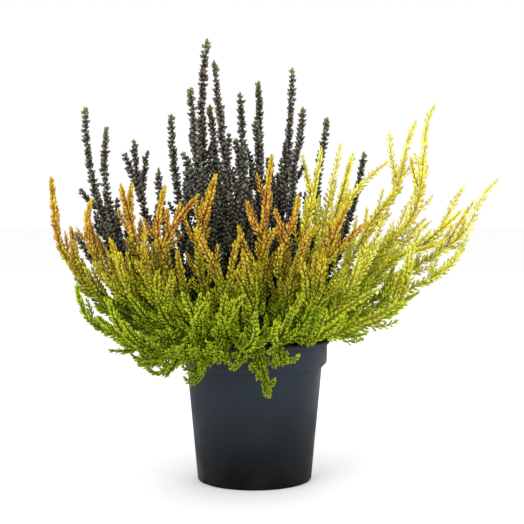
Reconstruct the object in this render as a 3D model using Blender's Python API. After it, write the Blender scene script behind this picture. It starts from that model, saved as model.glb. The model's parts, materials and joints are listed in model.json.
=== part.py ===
"""Three hardy heathers in one plain nursery pot: a dark one, an amber one and a yellow one.

Metres, +Z up. The origin is the centre of the pot's underside, where the pot rests. +X is to the
viewer's right and +Y points away from the viewer. Each leafy shoot is one closed body: a slim core
with pairs of leaves raised from it, turned a quarter from one pair to the next.
"""

import math
import random
from dataclasses import dataclass

import bmesh
import bpy
from mathutils import Matrix, Vector
from mathutils.kdtree import KDTree

# Pot
RIM_RADIUS = 0.060
RIM_TOP = 0.112
COLLAR_BOTTOM = 0.0935
NECK_RADIUS = 0.054
FOOT_RADIUS = 0.0456
WALL = 0.0012
FLOOR = 0.0015
BEAD = 0.0009
POT_SIDES = 40
FOOT_CHAMFER = 0.0012
FLOOR_CORNER = 0.0010
SHOULDER_RISE = 0.003
DRAIN_SLOTS = 8
DRAIN_TURN = 0.25
DRAIN_SIZE = (0.011, 0.0045)
DRAIN_REACH = 0.0375
NOTCH_SIZE = (0.007, 0.0024)
NOTCH_CUT = 1.6 * WALL
SHARP_EDGE = math.radians(35)
MERGE = 1e-6

# The shoulder under the collar, as (radius beyond the neck, height above the collar's bottom)
SHOULDER = ((0.0012, -0.0022), (0.0020, -0.0006), (0.0038, 0.0010))
INNER_SHOULDER = ((0.0026, 0.0018), (-0.0004, -0.0010))

# Peat
GAP = 0.0003
PEAT_GAP = 0.0005
PEAT_TOP = 0.102
PEAT_EDGE = 0.0015
PEAT_SHOULDER = ((-0.0013, -0.0004), (0.0021, 0.0024))
HOLE_RADIUS = 0.0021
HOLE_DEPTH = 0.008
HOLE_CLEAR = 0.0005
HOLE_SIDES = 5

# Where the stems stand in the peat
ROOT_REACH = 0.046
FULL_LEAN = math.radians(90)
ROOT_CROWDING = 0.6
ROOT_APART = 0.0075
ROOT_EDGE = 0.047
ROOT_ROUNDS = 80

# How the shoots keep clear of each other and of the pot
FINE_STEPS = 60
CLEARANCE = 0.0012
STEM_REACH = 0.0032
RIM_BERTH = 0.0095
CLEAR_ROUNDS = 260
CLEAR_ENOUGH = 0.0002
SIDEWAYS_SHARE = 0.45
DEPTH_NUDGE = 0.3
STEM_STANDS = 0.003
STRAIGHT = 0.0003
KINK = 0.07
KINK_EASE = 0.5

# The leaves' reach at a shoot's ends and at its middle, as shares
LEAST_REACH = 0.80
MOST_REACH = 1.25
LEAF_LIFT = 0.45

# Branches and twigs on the sides of a shoot
JOINT_BERTH = 4
FORK_BACK = 1.3
FORK_LEAST = 0.022
FORK_LEAN = 0.45
FORK_STRAIGHT = 0.5
TWIG_SEED = 47
TWIG_LOWEST_TIP = 0.150
TWIG_LENGTH = (0.030, 0.048)
TWIG_ANGLE = math.radians(40)
TWIG_FLARE = 0.3
TWIG_RISE = 0.35


@dataclass(frozen=True)
class Sort:
    """What the shoots of one of the three heathers have in common."""

    name: str
    leaf_reach: float
    core: float
    pitch: float
    elbow_reach: float
    elbow_rise: float
    bare: float
    twigs: int
    twig_zone: tuple
    colour: tuple
    roughness: float


DARK = Sort(
    "dark", 0.0048, 0.0012, 0.0124, 0.93, 0.26, 0.20, 1, (0.25, 0.55), (0.050, 0.058, 0.040), 0.75
)
AMBER = Sort(
    "amber", 0.0054, 0.0013, 0.0114, 1.00, 0.18, 0.18, 2, (0.28, 0.72), (0.420, 0.330, 0.040), 0.70
)
YELLOW = Sort(
    "yellow", 0.0048, 0.0012, 0.0118, 0.55, 0.33, 0.22, 2, (0.30, 0.78), (0.680, 0.650, 0.060), 0.70
)


@dataclass(frozen=True)
class Shoot:
    """One leafy shoot: its tip, the places (x, z) that its stem passes, and its branches' tips."""

    sort: Sort
    tip: tuple
    via: tuple = ()
    forks: tuple = ()


SHOOTS = (
    Shoot(DARK, (-0.138, 0.035, 0.300), ((-0.128, 0.225),)),
    Shoot(DARK, (-0.119, 0.020, 0.283), ((-0.113, 0.202),)),
    Shoot(
        DARK,
        (-0.100, 0.045, 0.274),
        ((-0.088, 0.205),),
        ((-0.107, 0.030, 0.262), (-0.089, 0.060, 0.265)),
    ),
    Shoot(DARK, (-0.068, 0.030, 0.294), ((-0.061, 0.221),), ((-0.056, 0.065, 0.252),)),
    Shoot(DARK, (-0.076, 0.000, 0.250), ((-0.071, 0.200),)),
    Shoot(DARK, (-0.051, 0.008, 0.314), ((-0.045, 0.250),), ((-0.057, -0.006, 0.262),)),
    Shoot(DARK, (-0.038, 0.030, 0.355), ((-0.043, 0.270),)),
    Shoot(DARK, (-0.038, 0.055, 0.303), ((-0.031, 0.245),), ((-0.032, 0.088, 0.250),)),
    Shoot(DARK, (-0.033, 0.015, 0.336), ((-0.023, 0.255),)),
    Shoot(DARK, (-0.012, 0.032, 0.312), ((-0.008, 0.240),), ((-0.017, 0.014, 0.273),)),
    Shoot(DARK, (0.003, 0.048, 0.322), ((0.004, 0.260),), ((0.000, 0.020, 0.288),)),
    Shoot(DARK, (0.031, 0.038, 0.332), ((0.026, 0.250),), ((0.019, 0.050, 0.246), (0.010, 0.070, 0.259))),
    Shoot(DARK, (0.039, 0.018, 0.299), ((0.032, 0.229),)),
    Shoot(DARK, (0.060, 0.045, 0.292), ((0.048, 0.222),)),
    Shoot(DARK, (0.092, 0.060, 0.264), ((0.078, 0.207),)),
    Shoot(DARK, (-0.150, 0.050, 0.196), ((-0.120, 0.155),), ((-0.137, 0.040, 0.141),)),
    Shoot(DARK, (-0.100, 0.095, 0.205), (), ((-0.070, 0.118, 0.180), (-0.118, 0.078, 0.170))),
    Shoot(DARK, (-0.030, 0.128, 0.188), (), ((-0.048, 0.112, 0.215), (-0.018, 0.134, 0.150))),
    Shoot(DARK, (0.022, 0.128, 0.205), (), ((0.020, 0.095, 0.240), (0.038, 0.132, 0.165))),
    Shoot(DARK, (0.066, 0.115, 0.190), (), ((0.052, 0.098, 0.222), (0.085, 0.105, 0.162))),
    Shoot(
        AMBER,
        (-0.160, -0.010, 0.242),
        ((-0.100, 0.130), (-0.121, 0.145), (-0.140, 0.166), (-0.154, 0.190)),
        ((-0.143, -0.022, 0.194),),
    ),
    Shoot(
        AMBER,
        (-0.127, -0.015, 0.225),
        ((-0.110, 0.155), (-0.127, 0.180), (-0.131, 0.205)),
        ((-0.137, -0.002, 0.213), (-0.114, -0.024, 0.184)),
    ),
    Shoot(AMBER, (-0.095, -0.020, 0.238), ((-0.093, 0.185),), ((-0.103, -0.034, 0.236),)),
    Shoot(AMBER, (-0.068, -0.030, 0.235), ((-0.074, 0.180),), ((-0.043, -0.022, 0.226),)),
    Shoot(AMBER, (-0.029, -0.028, 0.242), ((-0.043, 0.195),), ((-0.031, -0.010, 0.232),)),
    Shoot(
        AMBER,
        (-0.111, -0.035, 0.195),
        ((-0.082, 0.134), (-0.099, 0.157)),
        ((-0.103, -0.052, 0.186), (-0.124, -0.030, 0.176)),
    ),
    Shoot(AMBER, (-0.083, -0.042, 0.203), ((-0.083, 0.165),), ((-0.092, -0.052, 0.176),)),
    Shoot(AMBER, (-0.071, -0.066, 0.172), ((-0.070, 0.140),), ((-0.058, -0.078, 0.166),)),
    Shoot(
        AMBER,
        (-0.138, -0.025, 0.159),
        ((-0.056, 0.120), (-0.080, 0.106), (-0.108, 0.117), (-0.128, 0.130), (-0.136, 0.145)),
        ((-0.122, -0.038, 0.134),),
    ),
    Shoot(
        AMBER,
        (-0.109, -0.060, 0.150),
        ((-0.050, 0.122), (-0.074, 0.107), (-0.094, 0.115), (-0.105, 0.134)),
        ((-0.096, -0.080, 0.134),),
    ),
    Shoot(
        AMBER,
        (-0.089, -0.055, 0.099),
        ((-0.044, 0.122), (-0.060, 0.104)),
        ((-0.066, -0.068, 0.096),),
    ),
    Shoot(
        AMBER,
        (-0.039, -0.090, 0.157),
        ((-0.033, 0.120), (-0.042, 0.106), (-0.043, 0.125)),
        ((-0.056, -0.088, 0.146), (-0.036, -0.104, 0.138), (-0.040, -0.082, 0.094)),
    ),
    Shoot(
        AMBER,
        (-0.020, -0.098, 0.158),
        ((-0.021, 0.120), (-0.028, 0.105), (-0.026, 0.124)),
        ((-0.008, -0.092, 0.153),),
    ),
    Shoot(
        AMBER,
        (0.001, -0.112, 0.146),
        ((-0.011, 0.120), (-0.015, 0.102), (-0.005, 0.105), (0.001, 0.122)),
    ),
    Shoot(
        AMBER,
        (0.016, -0.108, 0.138),
        ((0.004, 0.120), (0.009, 0.106), (0.013, 0.116)),
        ((0.030, -0.098, 0.146),),
    ),
    Shoot(
        AMBER,
        (0.053, -0.086, 0.146),
        ((0.033, 0.120), (0.040, 0.108), (0.046, 0.122)),
        ((0.068, -0.074, 0.134),),
    ),
    Shoot(AMBER, (0.011, -0.086, 0.078), ((0.006, 0.124),)),
    Shoot(AMBER, (0.014, -0.020, 0.259), ((0.008, 0.205),), ((0.018, -0.036, 0.203),)),
    Shoot(AMBER, (-0.011, -0.040, 0.197), ((-0.018, 0.165),), ((-0.045, -0.055, 0.203),)),
    Shoot(AMBER, (0.034, -0.030, 0.228), ((0.026, 0.176),)),
    Shoot(AMBER, (0.049, -0.045, 0.205), ((0.034, 0.170),)),
    Shoot(AMBER, (0.073, -0.034, 0.224), ((0.058, 0.186),), ((0.088, -0.030, 0.206),)),
    Shoot(AMBER, (0.052, -0.060, 0.188), ((0.048, 0.152),), ((0.068, -0.068, 0.173),)),
    Shoot(AMBER, (0.001, -0.062, 0.177), ((0.000, 0.150),), ((-0.014, -0.074, 0.172),)),
    Shoot(AMBER, (-0.150, 0.018, 0.170), ((-0.122, 0.140),), ((-0.130, 0.008, 0.138),)),
    Shoot(YELLOW, (0.054, 0.012, 0.266), ((0.048, 0.232),)),
    Shoot(YELLOW, (0.071, 0.040, 0.270), ((0.060, 0.220),), ((0.112, 0.046, 0.256),)),
    Shoot(YELLOW, (0.080, 0.018, 0.263), ((0.068, 0.220),), ((0.087, -0.008, 0.239),)),
    Shoot(
        YELLOW,
        (0.130, 0.014, 0.288),
        ((0.093, 0.200), (0.114, 0.233), (0.122, 0.265)),
        ((0.110, 0.006, 0.213),),
    ),
    Shoot(
        YELLOW,
        (0.143, -0.004, 0.299),
        ((0.105, 0.184), (0.128, 0.217), (0.133, 0.253), (0.136, 0.284)),
    ),
    Shoot(
        YELLOW,
        (0.166, -0.008, 0.236),
        ((0.109, 0.175), (0.141, 0.191), (0.155, 0.217)),
        ((0.148, -0.024, 0.192),),
    ),
    Shoot(YELLOW, (0.196, 0.012, 0.240), ((0.100, 0.146), (0.138, 0.175), (0.167, 0.195), (0.183, 0.225))),
    Shoot(YELLOW, (0.167, -0.030, 0.200), ((0.096, 0.136), (0.124, 0.155), (0.150, 0.170))),
    Shoot(YELLOW, (0.129, -0.036, 0.203), ((0.101, 0.134), (0.117, 0.158), (0.122, 0.186))),
    Shoot(
        YELLOW,
        (0.096, -0.045, 0.196),
        ((0.085, 0.172),),
        ((0.096, -0.064, 0.158), (0.080, -0.056, 0.186)),
    ),
    Shoot(YELLOW, (0.126, 0.030, 0.221), ((0.112, 0.190),)),
    Shoot(YELLOW, (0.114, -0.040, 0.148), ((0.070, 0.123), (0.097, 0.135))),
    Shoot(YELLOW, (0.110, 0.085, 0.190), (), ((0.148, 0.052, 0.205), (0.124, 0.072, 0.160))),
)


class Strand:
    """A shoot's stem or one of its branches, as points at even steps from its root to its tip."""

    def __init__(self, node, sort, points, bare, parent=None, joint=0):
        self.node = node
        self.sort = sort
        self.points = points
        self.bare = bare
        self.parent = parent
        self.joint = joint

    def leafy(self, place):
        """Whether the stem has leaves at one of its points."""
        return place >= max(2, self.bare * (len(self.points) - 1))

    def reach(self, place):
        """How far the strand stands out around one of its points."""
        if not self.leafy(place):
            return STEM_REACH
        last = len(self.points) - 1
        along = (place / last - self.bare) / (1 - self.bare)
        swell = LEAST_REACH + (MOST_REACH - LEAST_REACH) * math.sin(math.pi * min(max(along, 0.0), 1.0))
        return self.sort.leaf_reach * swell


def clear_scene():
    """Leaves nothing in the scene."""
    for obj in list(bpy.data.objects):
        bpy.data.objects.remove(obj, do_unlink=True)


def material(name, colour, roughness):
    """A plain material of one colour."""
    made = bpy.data.materials.new(name)
    made.use_nodes = True
    shader = made.node_tree.nodes["Principled BSDF"]
    shader.inputs["Base Color"].default_value = (*colour, 1.0)
    shader.inputs["Roughness"].default_value = roughness
    shader.inputs["Metallic"].default_value = 0.0
    made.diffuse_color = (*colour, 1.0)
    return made


def placed(name, mesh, look):
    """An object of this bmesh, with its material."""
    data = bpy.data.meshes.new(name)
    mesh.to_mesh(data)
    mesh.free()
    obj = bpy.data.objects.new(name, data)
    bpy.context.scene.collection.objects.link(obj)
    if look is not None:
        data.materials.append(look)
    return obj


def turned(profile, sides):
    """A body turned about Z from a profile of (radius, height) that starts and ends on the axis."""
    mesh = bmesh.new()
    verts = [mesh.verts.new((radius, 0.0, height)) for radius, height in profile]
    edges = [mesh.edges.new(pair) for pair in zip(verts, verts[1:])]
    bmesh.ops.spin(
        mesh,
        geom=verts + edges,
        axis=(0.0, 0.0, 1.0),
        cent=(0.0, 0.0, 0.0),
        angle=math.tau,
        steps=sides,
        use_merge=True,
    )
    bmesh.ops.remove_doubles(mesh, verts=mesh.verts, dist=MERGE)
    bmesh.ops.recalc_face_normals(mesh, faces=mesh.faces)
    return mesh


def applied(obj):
    """Puts the object's modifiers into its mesh."""
    graph = bpy.context.evaluated_depsgraph_get()
    data = bpy.data.meshes.new_from_object(obj.evaluated_get(graph))
    obj.modifiers.clear()
    obj.data = data


def with_tools(obj, tools, operation):
    """Cuts the tools from the object, or joins them to it, and removes them."""
    group = bpy.data.collections.new(obj.name + "_tools")
    bpy.context.scene.collection.children.link(group)
    for tool in tools:
        bpy.context.scene.collection.objects.unlink(tool)
        group.objects.link(tool)
    boolean = obj.modifiers.new(operation.lower(), "BOOLEAN")
    boolean.operation = operation
    boolean.operand_type = "COLLECTION"
    boolean.collection = group
    boolean.use_self = operation == "UNION"
    applied(obj)
    for tool in tools:
        bpy.data.objects.remove(tool, do_unlink=True)
    bpy.data.collections.remove(group)


def body_radius(height):
    """The pot's outer radius below the collar."""
    return FOOT_RADIUS + (NECK_RADIUS - FOOT_RADIUS) * height / COLLAR_BOTTOM


def shoulder(steps):
    """Places on the shoulder under the collar, as (radius, height) from the pot's axis and foot."""
    return tuple((NECK_RADIUS + out, COLLAR_BOTTOM + up) for out, up in steps)


def pot_profile():
    """The pot's section: under its floor, up outside with the collar and bead, and down inside."""
    lip = RIM_TOP - 3 * BEAD
    collar = RIM_RADIUS - 2 * BEAD
    neck = COLLAR_BOTTOM - SHOULDER_RISE
    outside = (
        (0.0, 0.0),
        (FOOT_RADIUS - FOOT_CHAMFER, 0.0),
        (FOOT_RADIUS, FOOT_CHAMFER),
        (body_radius(neck), neck),
        *shoulder(SHOULDER),
        (collar, lip),
        (RIM_RADIUS, lip + BEAD),
        (RIM_RADIUS, RIM_TOP - BEAD),
        (RIM_RADIUS - BEAD, RIM_TOP),
    )
    inside = (
        (collar - WALL, RIM_TOP),
        *shoulder(INNER_SHOULDER),
        (body_radius(neck) - WALL, neck),
        (FOOT_RADIUS - WALL, FLOOR + FLOOR_CORNER),
        (FOOT_RADIUS - WALL - FLOOR_CORNER, FLOOR),
        (0.0, FLOOR),
    )
    return outside + inside


def box(name, size, place, turn):
    """A plain box, turned about Z."""
    mesh = bmesh.new()
    matrix = Matrix.Rotation(turn, 4, "Z") @ Matrix.Translation(place) @ Matrix.Diagonal((*size, 1.0))
    bmesh.ops.create_cube(mesh, size=1.0, matrix=matrix)
    return placed(name, mesh, None)


def make_pot(look):
    """The pot, with drain slots in its floor and a notch in its foot between each two of them."""
    pot = placed("pot", turned(pot_profile(), POT_SIDES), look)
    depth, width = DRAIN_SIZE
    notch, height = NOTCH_SIZE
    cutters = []
    half_way = math.pi / DRAIN_SLOTS
    drain = Vector((DRAIN_REACH, 0.0, 0.0))
    foot = Vector((FOOT_RADIUS, 0.0, 0.0))
    for place in range(DRAIN_SLOTS):
        turn = math.tau * (place + DRAIN_TURN) / DRAIN_SLOTS
        cutters.append(box("slot", (depth, width, 4 * FLOOR), drain, turn))
        cutters.append(box("notch", (NOTCH_CUT, notch, 2 * height), foot, turn + half_way))
    with_tools(pot, cutters, "DIFFERENCE")
    shade(pot)
    return pot


def shade(obj):
    """Smooth shading with the sharp edges kept."""
    obj.data.shade_smooth()
    obj.data.set_sharp_from_angle(angle=SHARP_EDGE)


def make_peat(roots, look):
    """The root ball that fills the pot, with a hole for each stem."""
    wall = WALL + PEAT_GAP
    bottom = FLOOR + GAP
    neck = COLLAR_BOTTOM - SHOULDER_RISE
    ledge, edge = shoulder(PEAT_SHOULDER)
    profile = (
        (0.0, bottom),
        (FOOT_RADIUS - wall - FOOT_CHAMFER, bottom),
        (FOOT_RADIUS - wall, bottom + FOOT_CHAMFER),
        (body_radius(neck) - wall, neck),
        ledge,
        edge,
        (edge[0], PEAT_TOP - PEAT_EDGE),
        (edge[0] - PEAT_EDGE, PEAT_TOP),
        (0.0, PEAT_TOP),
    )
    peat = placed("peat", turned(profile, POT_SIDES), look)
    cutters = []
    for root in roots:
        mesh = bmesh.new()
        bmesh.ops.create_cone(
            mesh,
            cap_ends=True,
            segments=HOLE_SIDES,
            radius1=HOLE_RADIUS,
            radius2=HOLE_RADIUS,
            depth=2 * HOLE_DEPTH,
            matrix=Matrix.Translation((root.x, root.y, PEAT_TOP)),
        )
        cutters.append(placed("hole", mesh, None))
    with_tools(peat, cutters, "DIFFERENCE")
    return peat


def spread_roots(shoots):
    """Where each stem stands: towards its tip, further out the more the shoot leans, and all apart."""
    roots = []
    for shoot in shoots:
        flat = Vector(shoot.tip).to_2d()
        lean = math.atan2(flat.length, shoot.tip[2] - PEAT_TOP)
        share = min(1.0, lean / FULL_LEAN) ** ROOT_CROWDING
        roots.append(flat.normalized() * ROOT_REACH * share)
    for _ in range(ROOT_ROUNDS):
        for place, root in enumerate(roots):
            for other in roots[place + 1 :]:
                apart = root - other
                short = ROOT_APART - apart.length
                if short > 0.0:
                    move = apart.normalized() * short / 2
                    root += move
                    other -= move
        for root in roots:
            if root.length > ROOT_EDGE:
                root *= ROOT_EDGE / root.length
    return [Vector((root.x, root.y, PEAT_TOP)) for root in roots]


def passed_places(root, tip, via):
    """The root, the places that the stem passes, and the tip, with y spread along the way."""
    flat = [(root.x, root.z), *via, (tip.x, tip.z)]
    gone = [0.0]
    for start, end in zip(flat, flat[1:]):
        gone.append(gone[-1] + math.dist(start, end))
    return [
        Vector((x, root.y + (tip.y - root.y) * way / gone[-1], z))
        for (x, z), way in zip(flat, gone)
    ]


def simple_bend(root, elbow, tip):
    """Closely set points along the bend from the root towards the elbow and on to the tip."""
    fine = []
    for step in range(FINE_STEPS + 1):
        t = step / FINE_STEPS
        fine.append(root * (1 - t) ** 2 + elbow * (2 * t * (1 - t)) + tip * t**2)
    return fine


def bend_over(places):
    """Closely set points along the simple bend that passes over the middle one of three places."""
    root, passed, tip = places
    share = (passed - root).length / ((passed - root).length + (tip - passed).length)
    elbow = (passed - root * (1 - share) ** 2 - tip * share**2) / (2 * share * (1 - share))
    return simple_bend(root, elbow, tip)


def smooth_path(places):
    """Closely set points along a smooth curve through all the places."""
    before = places[0] * 2 - places[1]
    after = places[-1] * 2 - places[-2]
    row = [before, *places, after]
    fine = [places[0]]
    for a, b, c, d in zip(row, row[1:], row[2:], row[3:]):
        for step in range(1, FINE_STEPS // 4 + 1):
            t = step / (FINE_STEPS // 4)
            rise = (c - a) * t + (a * 2 - b * 5 + c * 4 - d) * t**2 + (b * 3 - a - c * 3 + d) * t**3
            fine.append(b + rise / 2)
    return fine


def even_steps(fine, pitch):
    """Points at even steps of half a pitch or so along a line of closely set points."""
    travelled = [0.0]
    for start, end in zip(fine, fine[1:]):
        travelled.append(travelled[-1] + (end - start).length)
    count = 2 * max(2, round(travelled[-1] / pitch))
    points = []
    for place in range(count + 1):
        wanted = travelled[-1] * place / count
        index = max(1, next((i for i, gone in enumerate(travelled) if gone >= wanted), len(fine) - 1))
        share = (wanted - travelled[index - 1]) / (travelled[index] - travelled[index - 1])
        points.append(fine[index - 1].lerp(fine[index], share))
    return points


def main_strand(node, shoot, root):
    """The stem of a shoot."""
    sort = shoot.sort
    tip = Vector(shoot.tip)
    places = passed_places(root, tip, shoot.via)
    if len(places) == 2:
        share = Vector((sort.elbow_reach, sort.elbow_reach, sort.elbow_rise))
        fine = simple_bend(root, root + (tip - root) * share, tip)
    elif len(places) == 3:
        fine = bend_over(places)
    else:
        fine = smooth_path(places)
    return Strand(node, sort, even_steps(fine, sort.pitch), sort.bare)


def fork_strand(stem, tip):
    """A branch that leaves the stem below the branch's own tip."""
    away = [(Vector(tip) - point).length for point in stem.points]
    last = len(stem.points) - 1
    nearest = min(range(last + 1), key=away.__getitem__)
    back = round((away[nearest] * FORK_BACK + FORK_LEAST) * 2 / stem.sort.pitch)
    joint = max(JOINT_BERTH, min(last - JOINT_BERTH, nearest - back))
    start = stem.points[joint]
    along = (stem.points[joint + 1] - start).normalized()
    elbow = start + along * ((Vector(tip) - start).length * FORK_LEAN)
    elbow = elbow.lerp((start + Vector(tip)) / 2, FORK_STRAIGHT)
    points = even_steps(simple_bend(start, elbow, Vector(tip)), stem.sort.pitch)
    return Strand(stem.node, stem.sort, points, 0.0, stem, joint)


def twig_strand(stem, share, turn, length):
    """A short twig on the stem's side that bends up beside it."""
    last = len(stem.points) - 1
    joint = max(JOINT_BERTH, min(last - JOINT_BERTH, round(share * last)))
    start = stem.points[joint]
    along = (stem.points[joint + 1] - start).normalized()
    side = along.orthogonal().normalized()
    side.rotate(Matrix.Rotation(turn, 3, along))
    outward = side.x if stem.points[-1].x > 0.0 else -side.x
    if outward > 0.0 or side.z < 0.0:
        side.x = -side.x if outward > 0.0 else side.x
        side.z = abs(side.z)
    elbow = start + (along + side * math.tan(TWIG_ANGLE)).normalized() * length / 2
    tip = elbow + (along + side * TWIG_FLARE + Vector((0.0, 0.0, TWIG_RISE))).normalized() * length / 2
    points = even_steps(simple_bend(start, elbow, tip), stem.sort.pitch)
    return Strand(stem.node, stem.sort, points, 0.0, stem, joint)


def lay_strands(shoots, roots):
    """All stems, branches and twigs, as they would grow with nothing in their way."""
    chance = random.Random(TWIG_SEED)
    strands = []
    for node, (shoot, root) in enumerate(zip(shoots, roots)):
        stem = main_strand(node, shoot, root)
        strands.append(stem)
        strands.extend(fork_strand(stem, tip) for tip in shoot.forks)
        if shoot.tip[2] < TWIG_LOWEST_TIP:
            continue
        low, high = shoot.sort.twig_zone
        for twig in range(shoot.sort.twigs):
            share = low + (high - low) * (twig + chance.random()) / shoot.sort.twigs
            length = chance.uniform(*TWIG_LENGTH)
            strands.append(twig_strand(stem, share, chance.uniform(0.0, math.tau), length))
    return strands


def clear_of_pot(point, reach):
    """Lifts the point clear of the peat's top and, near the rim, of the rim."""
    radius = point.to_2d().length
    if radius < RIM_RADIUS + RIM_BERTH:
        share = (radius - RIM_RADIUS) / RIM_BERTH + 2
        height = PEAT_TOP + (RIM_TOP - PEAT_TOP) * min(max(share, 0.0), 1.0)
        point.z = max(point.z, height + reach + CLEARANCE)


def pushes(strands, reaches):
    """How far each point should move to be clear of the other shoots, and the worst overlap."""
    entries = [(s, p) for s, strand in enumerate(strands) for p in range(len(strand.points))]
    tree = KDTree(len(entries))
    for index, (s, p) in enumerate(entries):
        tree.insert(strands[s].points[p], index)
    tree.balance()
    widest = max(max(row) for row in reaches)
    moves = [[Vector() for _ in strand.points] for strand in strands]
    worst = 0.0
    for index, (s, p) in enumerate(entries):
        point = strands[s].points[p]
        reach = reaches[s][p] + CLEARANCE
        for other_point, other, distance in tree.find_range(point, reach + widest):
            t, q = entries[other]
            short = reach + reaches[t][q] - distance
            if other <= index or short <= 0.0 or strands[s].node == strands[t].node:
                continue
            if p == 0 and q == 0:
                continue
            worst = max(worst, short)
            away = (point - other_point) / max(distance, MERGE)
            nudge = math.copysign(DEPTH_NUDGE, away.y)
            push = Vector((away.x * SIDEWAYS_SHARE, away.y + nudge, away.z * SIDEWAYS_SHARE))
            push *= short / 2
            moves[s][p] += push
            moves[t][q] -= push
    return moves, worst


def smoothed(moves, fixed_root):
    """The moves along one strand, each shared with its neighbours."""
    for _ in range(2):
        padded = [moves[0], *moves, moves[-1]]
        moves = [(a + b * 2 + c) / 4 for a, b, c in zip(padded, padded[1:], padded[2:])]
        if fixed_root:
            moves[0] = Vector()
    return moves


def ease_kinks(points):
    """Draws a point that makes a sharp corner towards the middle of its two neighbours."""
    for place in range(2, len(points) - 1):
        across = points[place + 1] - points[place - 1]
        bend = (points[place + 1] + points[place - 1]) / 2 - points[place]
        if bend.length > KINK * across.length:
            points[place] += bend * KINK_EASE


def bend_clear(strands):
    """Bends the strands until no two shoots come close, with the stems' feet kept where they are."""
    reaches = [[strand.reach(place) for place in range(len(strand.points))] for strand in strands]
    for _ in range(CLEAR_ROUNDS):
        moves, worst = pushes(strands, reaches)
        for strand, row, reach in zip(strands, moves, reaches):
            for place, move in enumerate(smoothed(row, True)):
                strand.points[place] += move
            ease_kinks(strand.points)
            for place in range(len(strand.points)):
                if place and strand.parent is None or place > 1:
                    clear_of_pot(strand.points[place], reach[place])
            if strand.parent is not None:
                shift = strand.parent.points[strand.joint] - strand.points[0]
                for point in strand.points:
                    point += shift
        if worst < CLEAR_ENOUGH:
            break


def frames(points):
    """For each point its direction and two sides across it, carried along without a twist."""
    made = []
    side = Vector((1.0, 0.0, 0.0))
    last = len(points) - 1
    for place in range(last + 1):
        along = (points[min(place + 1, last)] - points[max(place - 1, 0)]).normalized()
        side = (side - along * side.dot(along)).normalized()
        made.append((along, side, along.cross(side)))
    return made


def ring_corners(centre, frame, radii, lifts):
    """Four places around a point, each at its own distance and height along the stem."""
    along, side, across = frame
    corners = []
    for quarter, (radius, lift) in enumerate(zip(radii, lifts)):
        angle = quarter * math.pi / 2
        out = side * math.cos(angle) + across * math.sin(angle)
        corners.append(centre + out * radius + along * lift)
    return corners


def is_straight(points, place):
    """Whether the strand runs on past this point with hardly a bend."""
    return ((points[place - 2] + points[place + 2]) / 2 - points[place]).length < STRAIGHT


def strand_rings(strand):
    """The corner places of each ring of a strand, and which corners are leaf tips."""
    sort = strand.sort
    directions = frames(strand.points)
    rings = []
    for place in range(0, len(strand.points) - 1, 2):
        leafy = strand.leafy(place)
        if place % 4 and not strand.leafy(place + 2) and is_straight(strand.points, place):
            continue
        centre = strand.points[place]
        frame = directions[place]
        radii = [sort.core] * 4
        lifts = [0.0] * 4
        tips = set()
        if place == 0 and strand.parent is not None:
            radii = [sort.core / 2] * 4
        elif leafy:
            turn = place // 2 % 2
            tips = {turn, turn + 2}
            for corner in tips:
                radii[corner] = strand.reach(place)
                lifts[corner] = sort.pitch * LEAF_LIFT
        rings.append((ring_corners(centre, frame, radii, lifts), tips))
    return rings


def foot_rings(strand):
    """The two lowest rings of a stem: near the bottom of its hole in the peat, and just above the peat."""
    upright = (Vector((0.0, 0.0, 1.0)), Vector((1.0, 0.0, 0.0)), Vector((0.0, 1.0, 0.0)))
    rings = []
    for height in (HOLE_CLEAR - HOLE_DEPTH, STEM_STANDS / 2):
        centre = strand.points[0] + upright[0] * height
        rings.append((ring_corners(centre, upright, [strand.sort.core] * 4, [0.0] * 4), set()))
    return rings


def strand_mesh(strand):
    """The closed body of one strand, grown ring by ring from its foot to its tip."""
    rings = strand_rings(strand)
    if strand.parent is None:
        rings[:1] = foot_rings(strand)
    mesh = bmesh.new()
    bmesh.ops.create_circle(mesh, cap_ends=True, segments=4, radius=1.0)
    mesh.faces.ensure_lookup_table()
    cap = mesh.faces[0]
    leaf_tips = set()
    for count, (corners, tips) in enumerate(rings):
        if count:
            cap = bmesh.ops.extrude_discrete_faces(mesh, faces=[cap])["faces"][0]
        for corner, (vert, place) in enumerate(zip(cap.verts, corners)):
            vert.co = place
            if corner in tips:
                leaf_tips.add(vert)
    bmesh.ops.pointmerge(mesh, verts=cap.verts, merge_co=strand.points[-1])
    split_leaves(mesh, {vert for vert in leaf_tips if vert.is_valid})
    bmesh.ops.holes_fill(mesh, edges=[edge for edge in mesh.edges if edge.is_boundary])
    bmesh.ops.recalc_face_normals(mesh, faces=mesh.faces)
    return mesh


def split_leaves(mesh, leaf_tips):
    """Splits the faces beside each leaf so that its tip is the top of a pyramid."""
    for face in list(mesh.faces):
        tips = [place for place, vert in enumerate(face.verts) if vert in leaf_tips]
        if len(face.verts) == 4 and tips:
            verts = list(face.verts)
            bmesh.utils.face_split(face, verts[tips[0] - 1], verts[(tips[0] + 1) % 4])


def keep_outer_shell(obj):
    """Fills the small closed pockets that crossing leaves can leave inside a joined shoot."""
    mesh = bmesh.new()
    mesh.from_mesh(obj.data)
    unseen = set(mesh.verts)
    largest = []
    for start in mesh.verts:
        if start not in unseen:
            continue
        unseen.discard(start)
        island = [start]
        for vert in island:
            for edge in vert.link_edges:
                other = edge.other_vert(vert)
                if other in unseen:
                    unseen.discard(other)
                    island.append(other)
        largest = max(largest, island, key=len)
    outer = set(largest)
    pockets = [vert for vert in mesh.verts if vert not in outer]
    bmesh.ops.delete(mesh, geom=pockets, context="VERTS")
    mesh.to_mesh(obj.data)
    mesh.free()


def make_shoot(name, strands, look):
    """One shoot: its stem with its branches joined to it."""
    stem = placed(name, strand_mesh(strands[0]), look)
    branches = [placed(name + "_branch", strand_mesh(strand), look) for strand in strands[1:]]
    if branches:
        with_tools(stem, branches, "UNION")
        keep_outer_shell(stem)
    return stem


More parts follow.
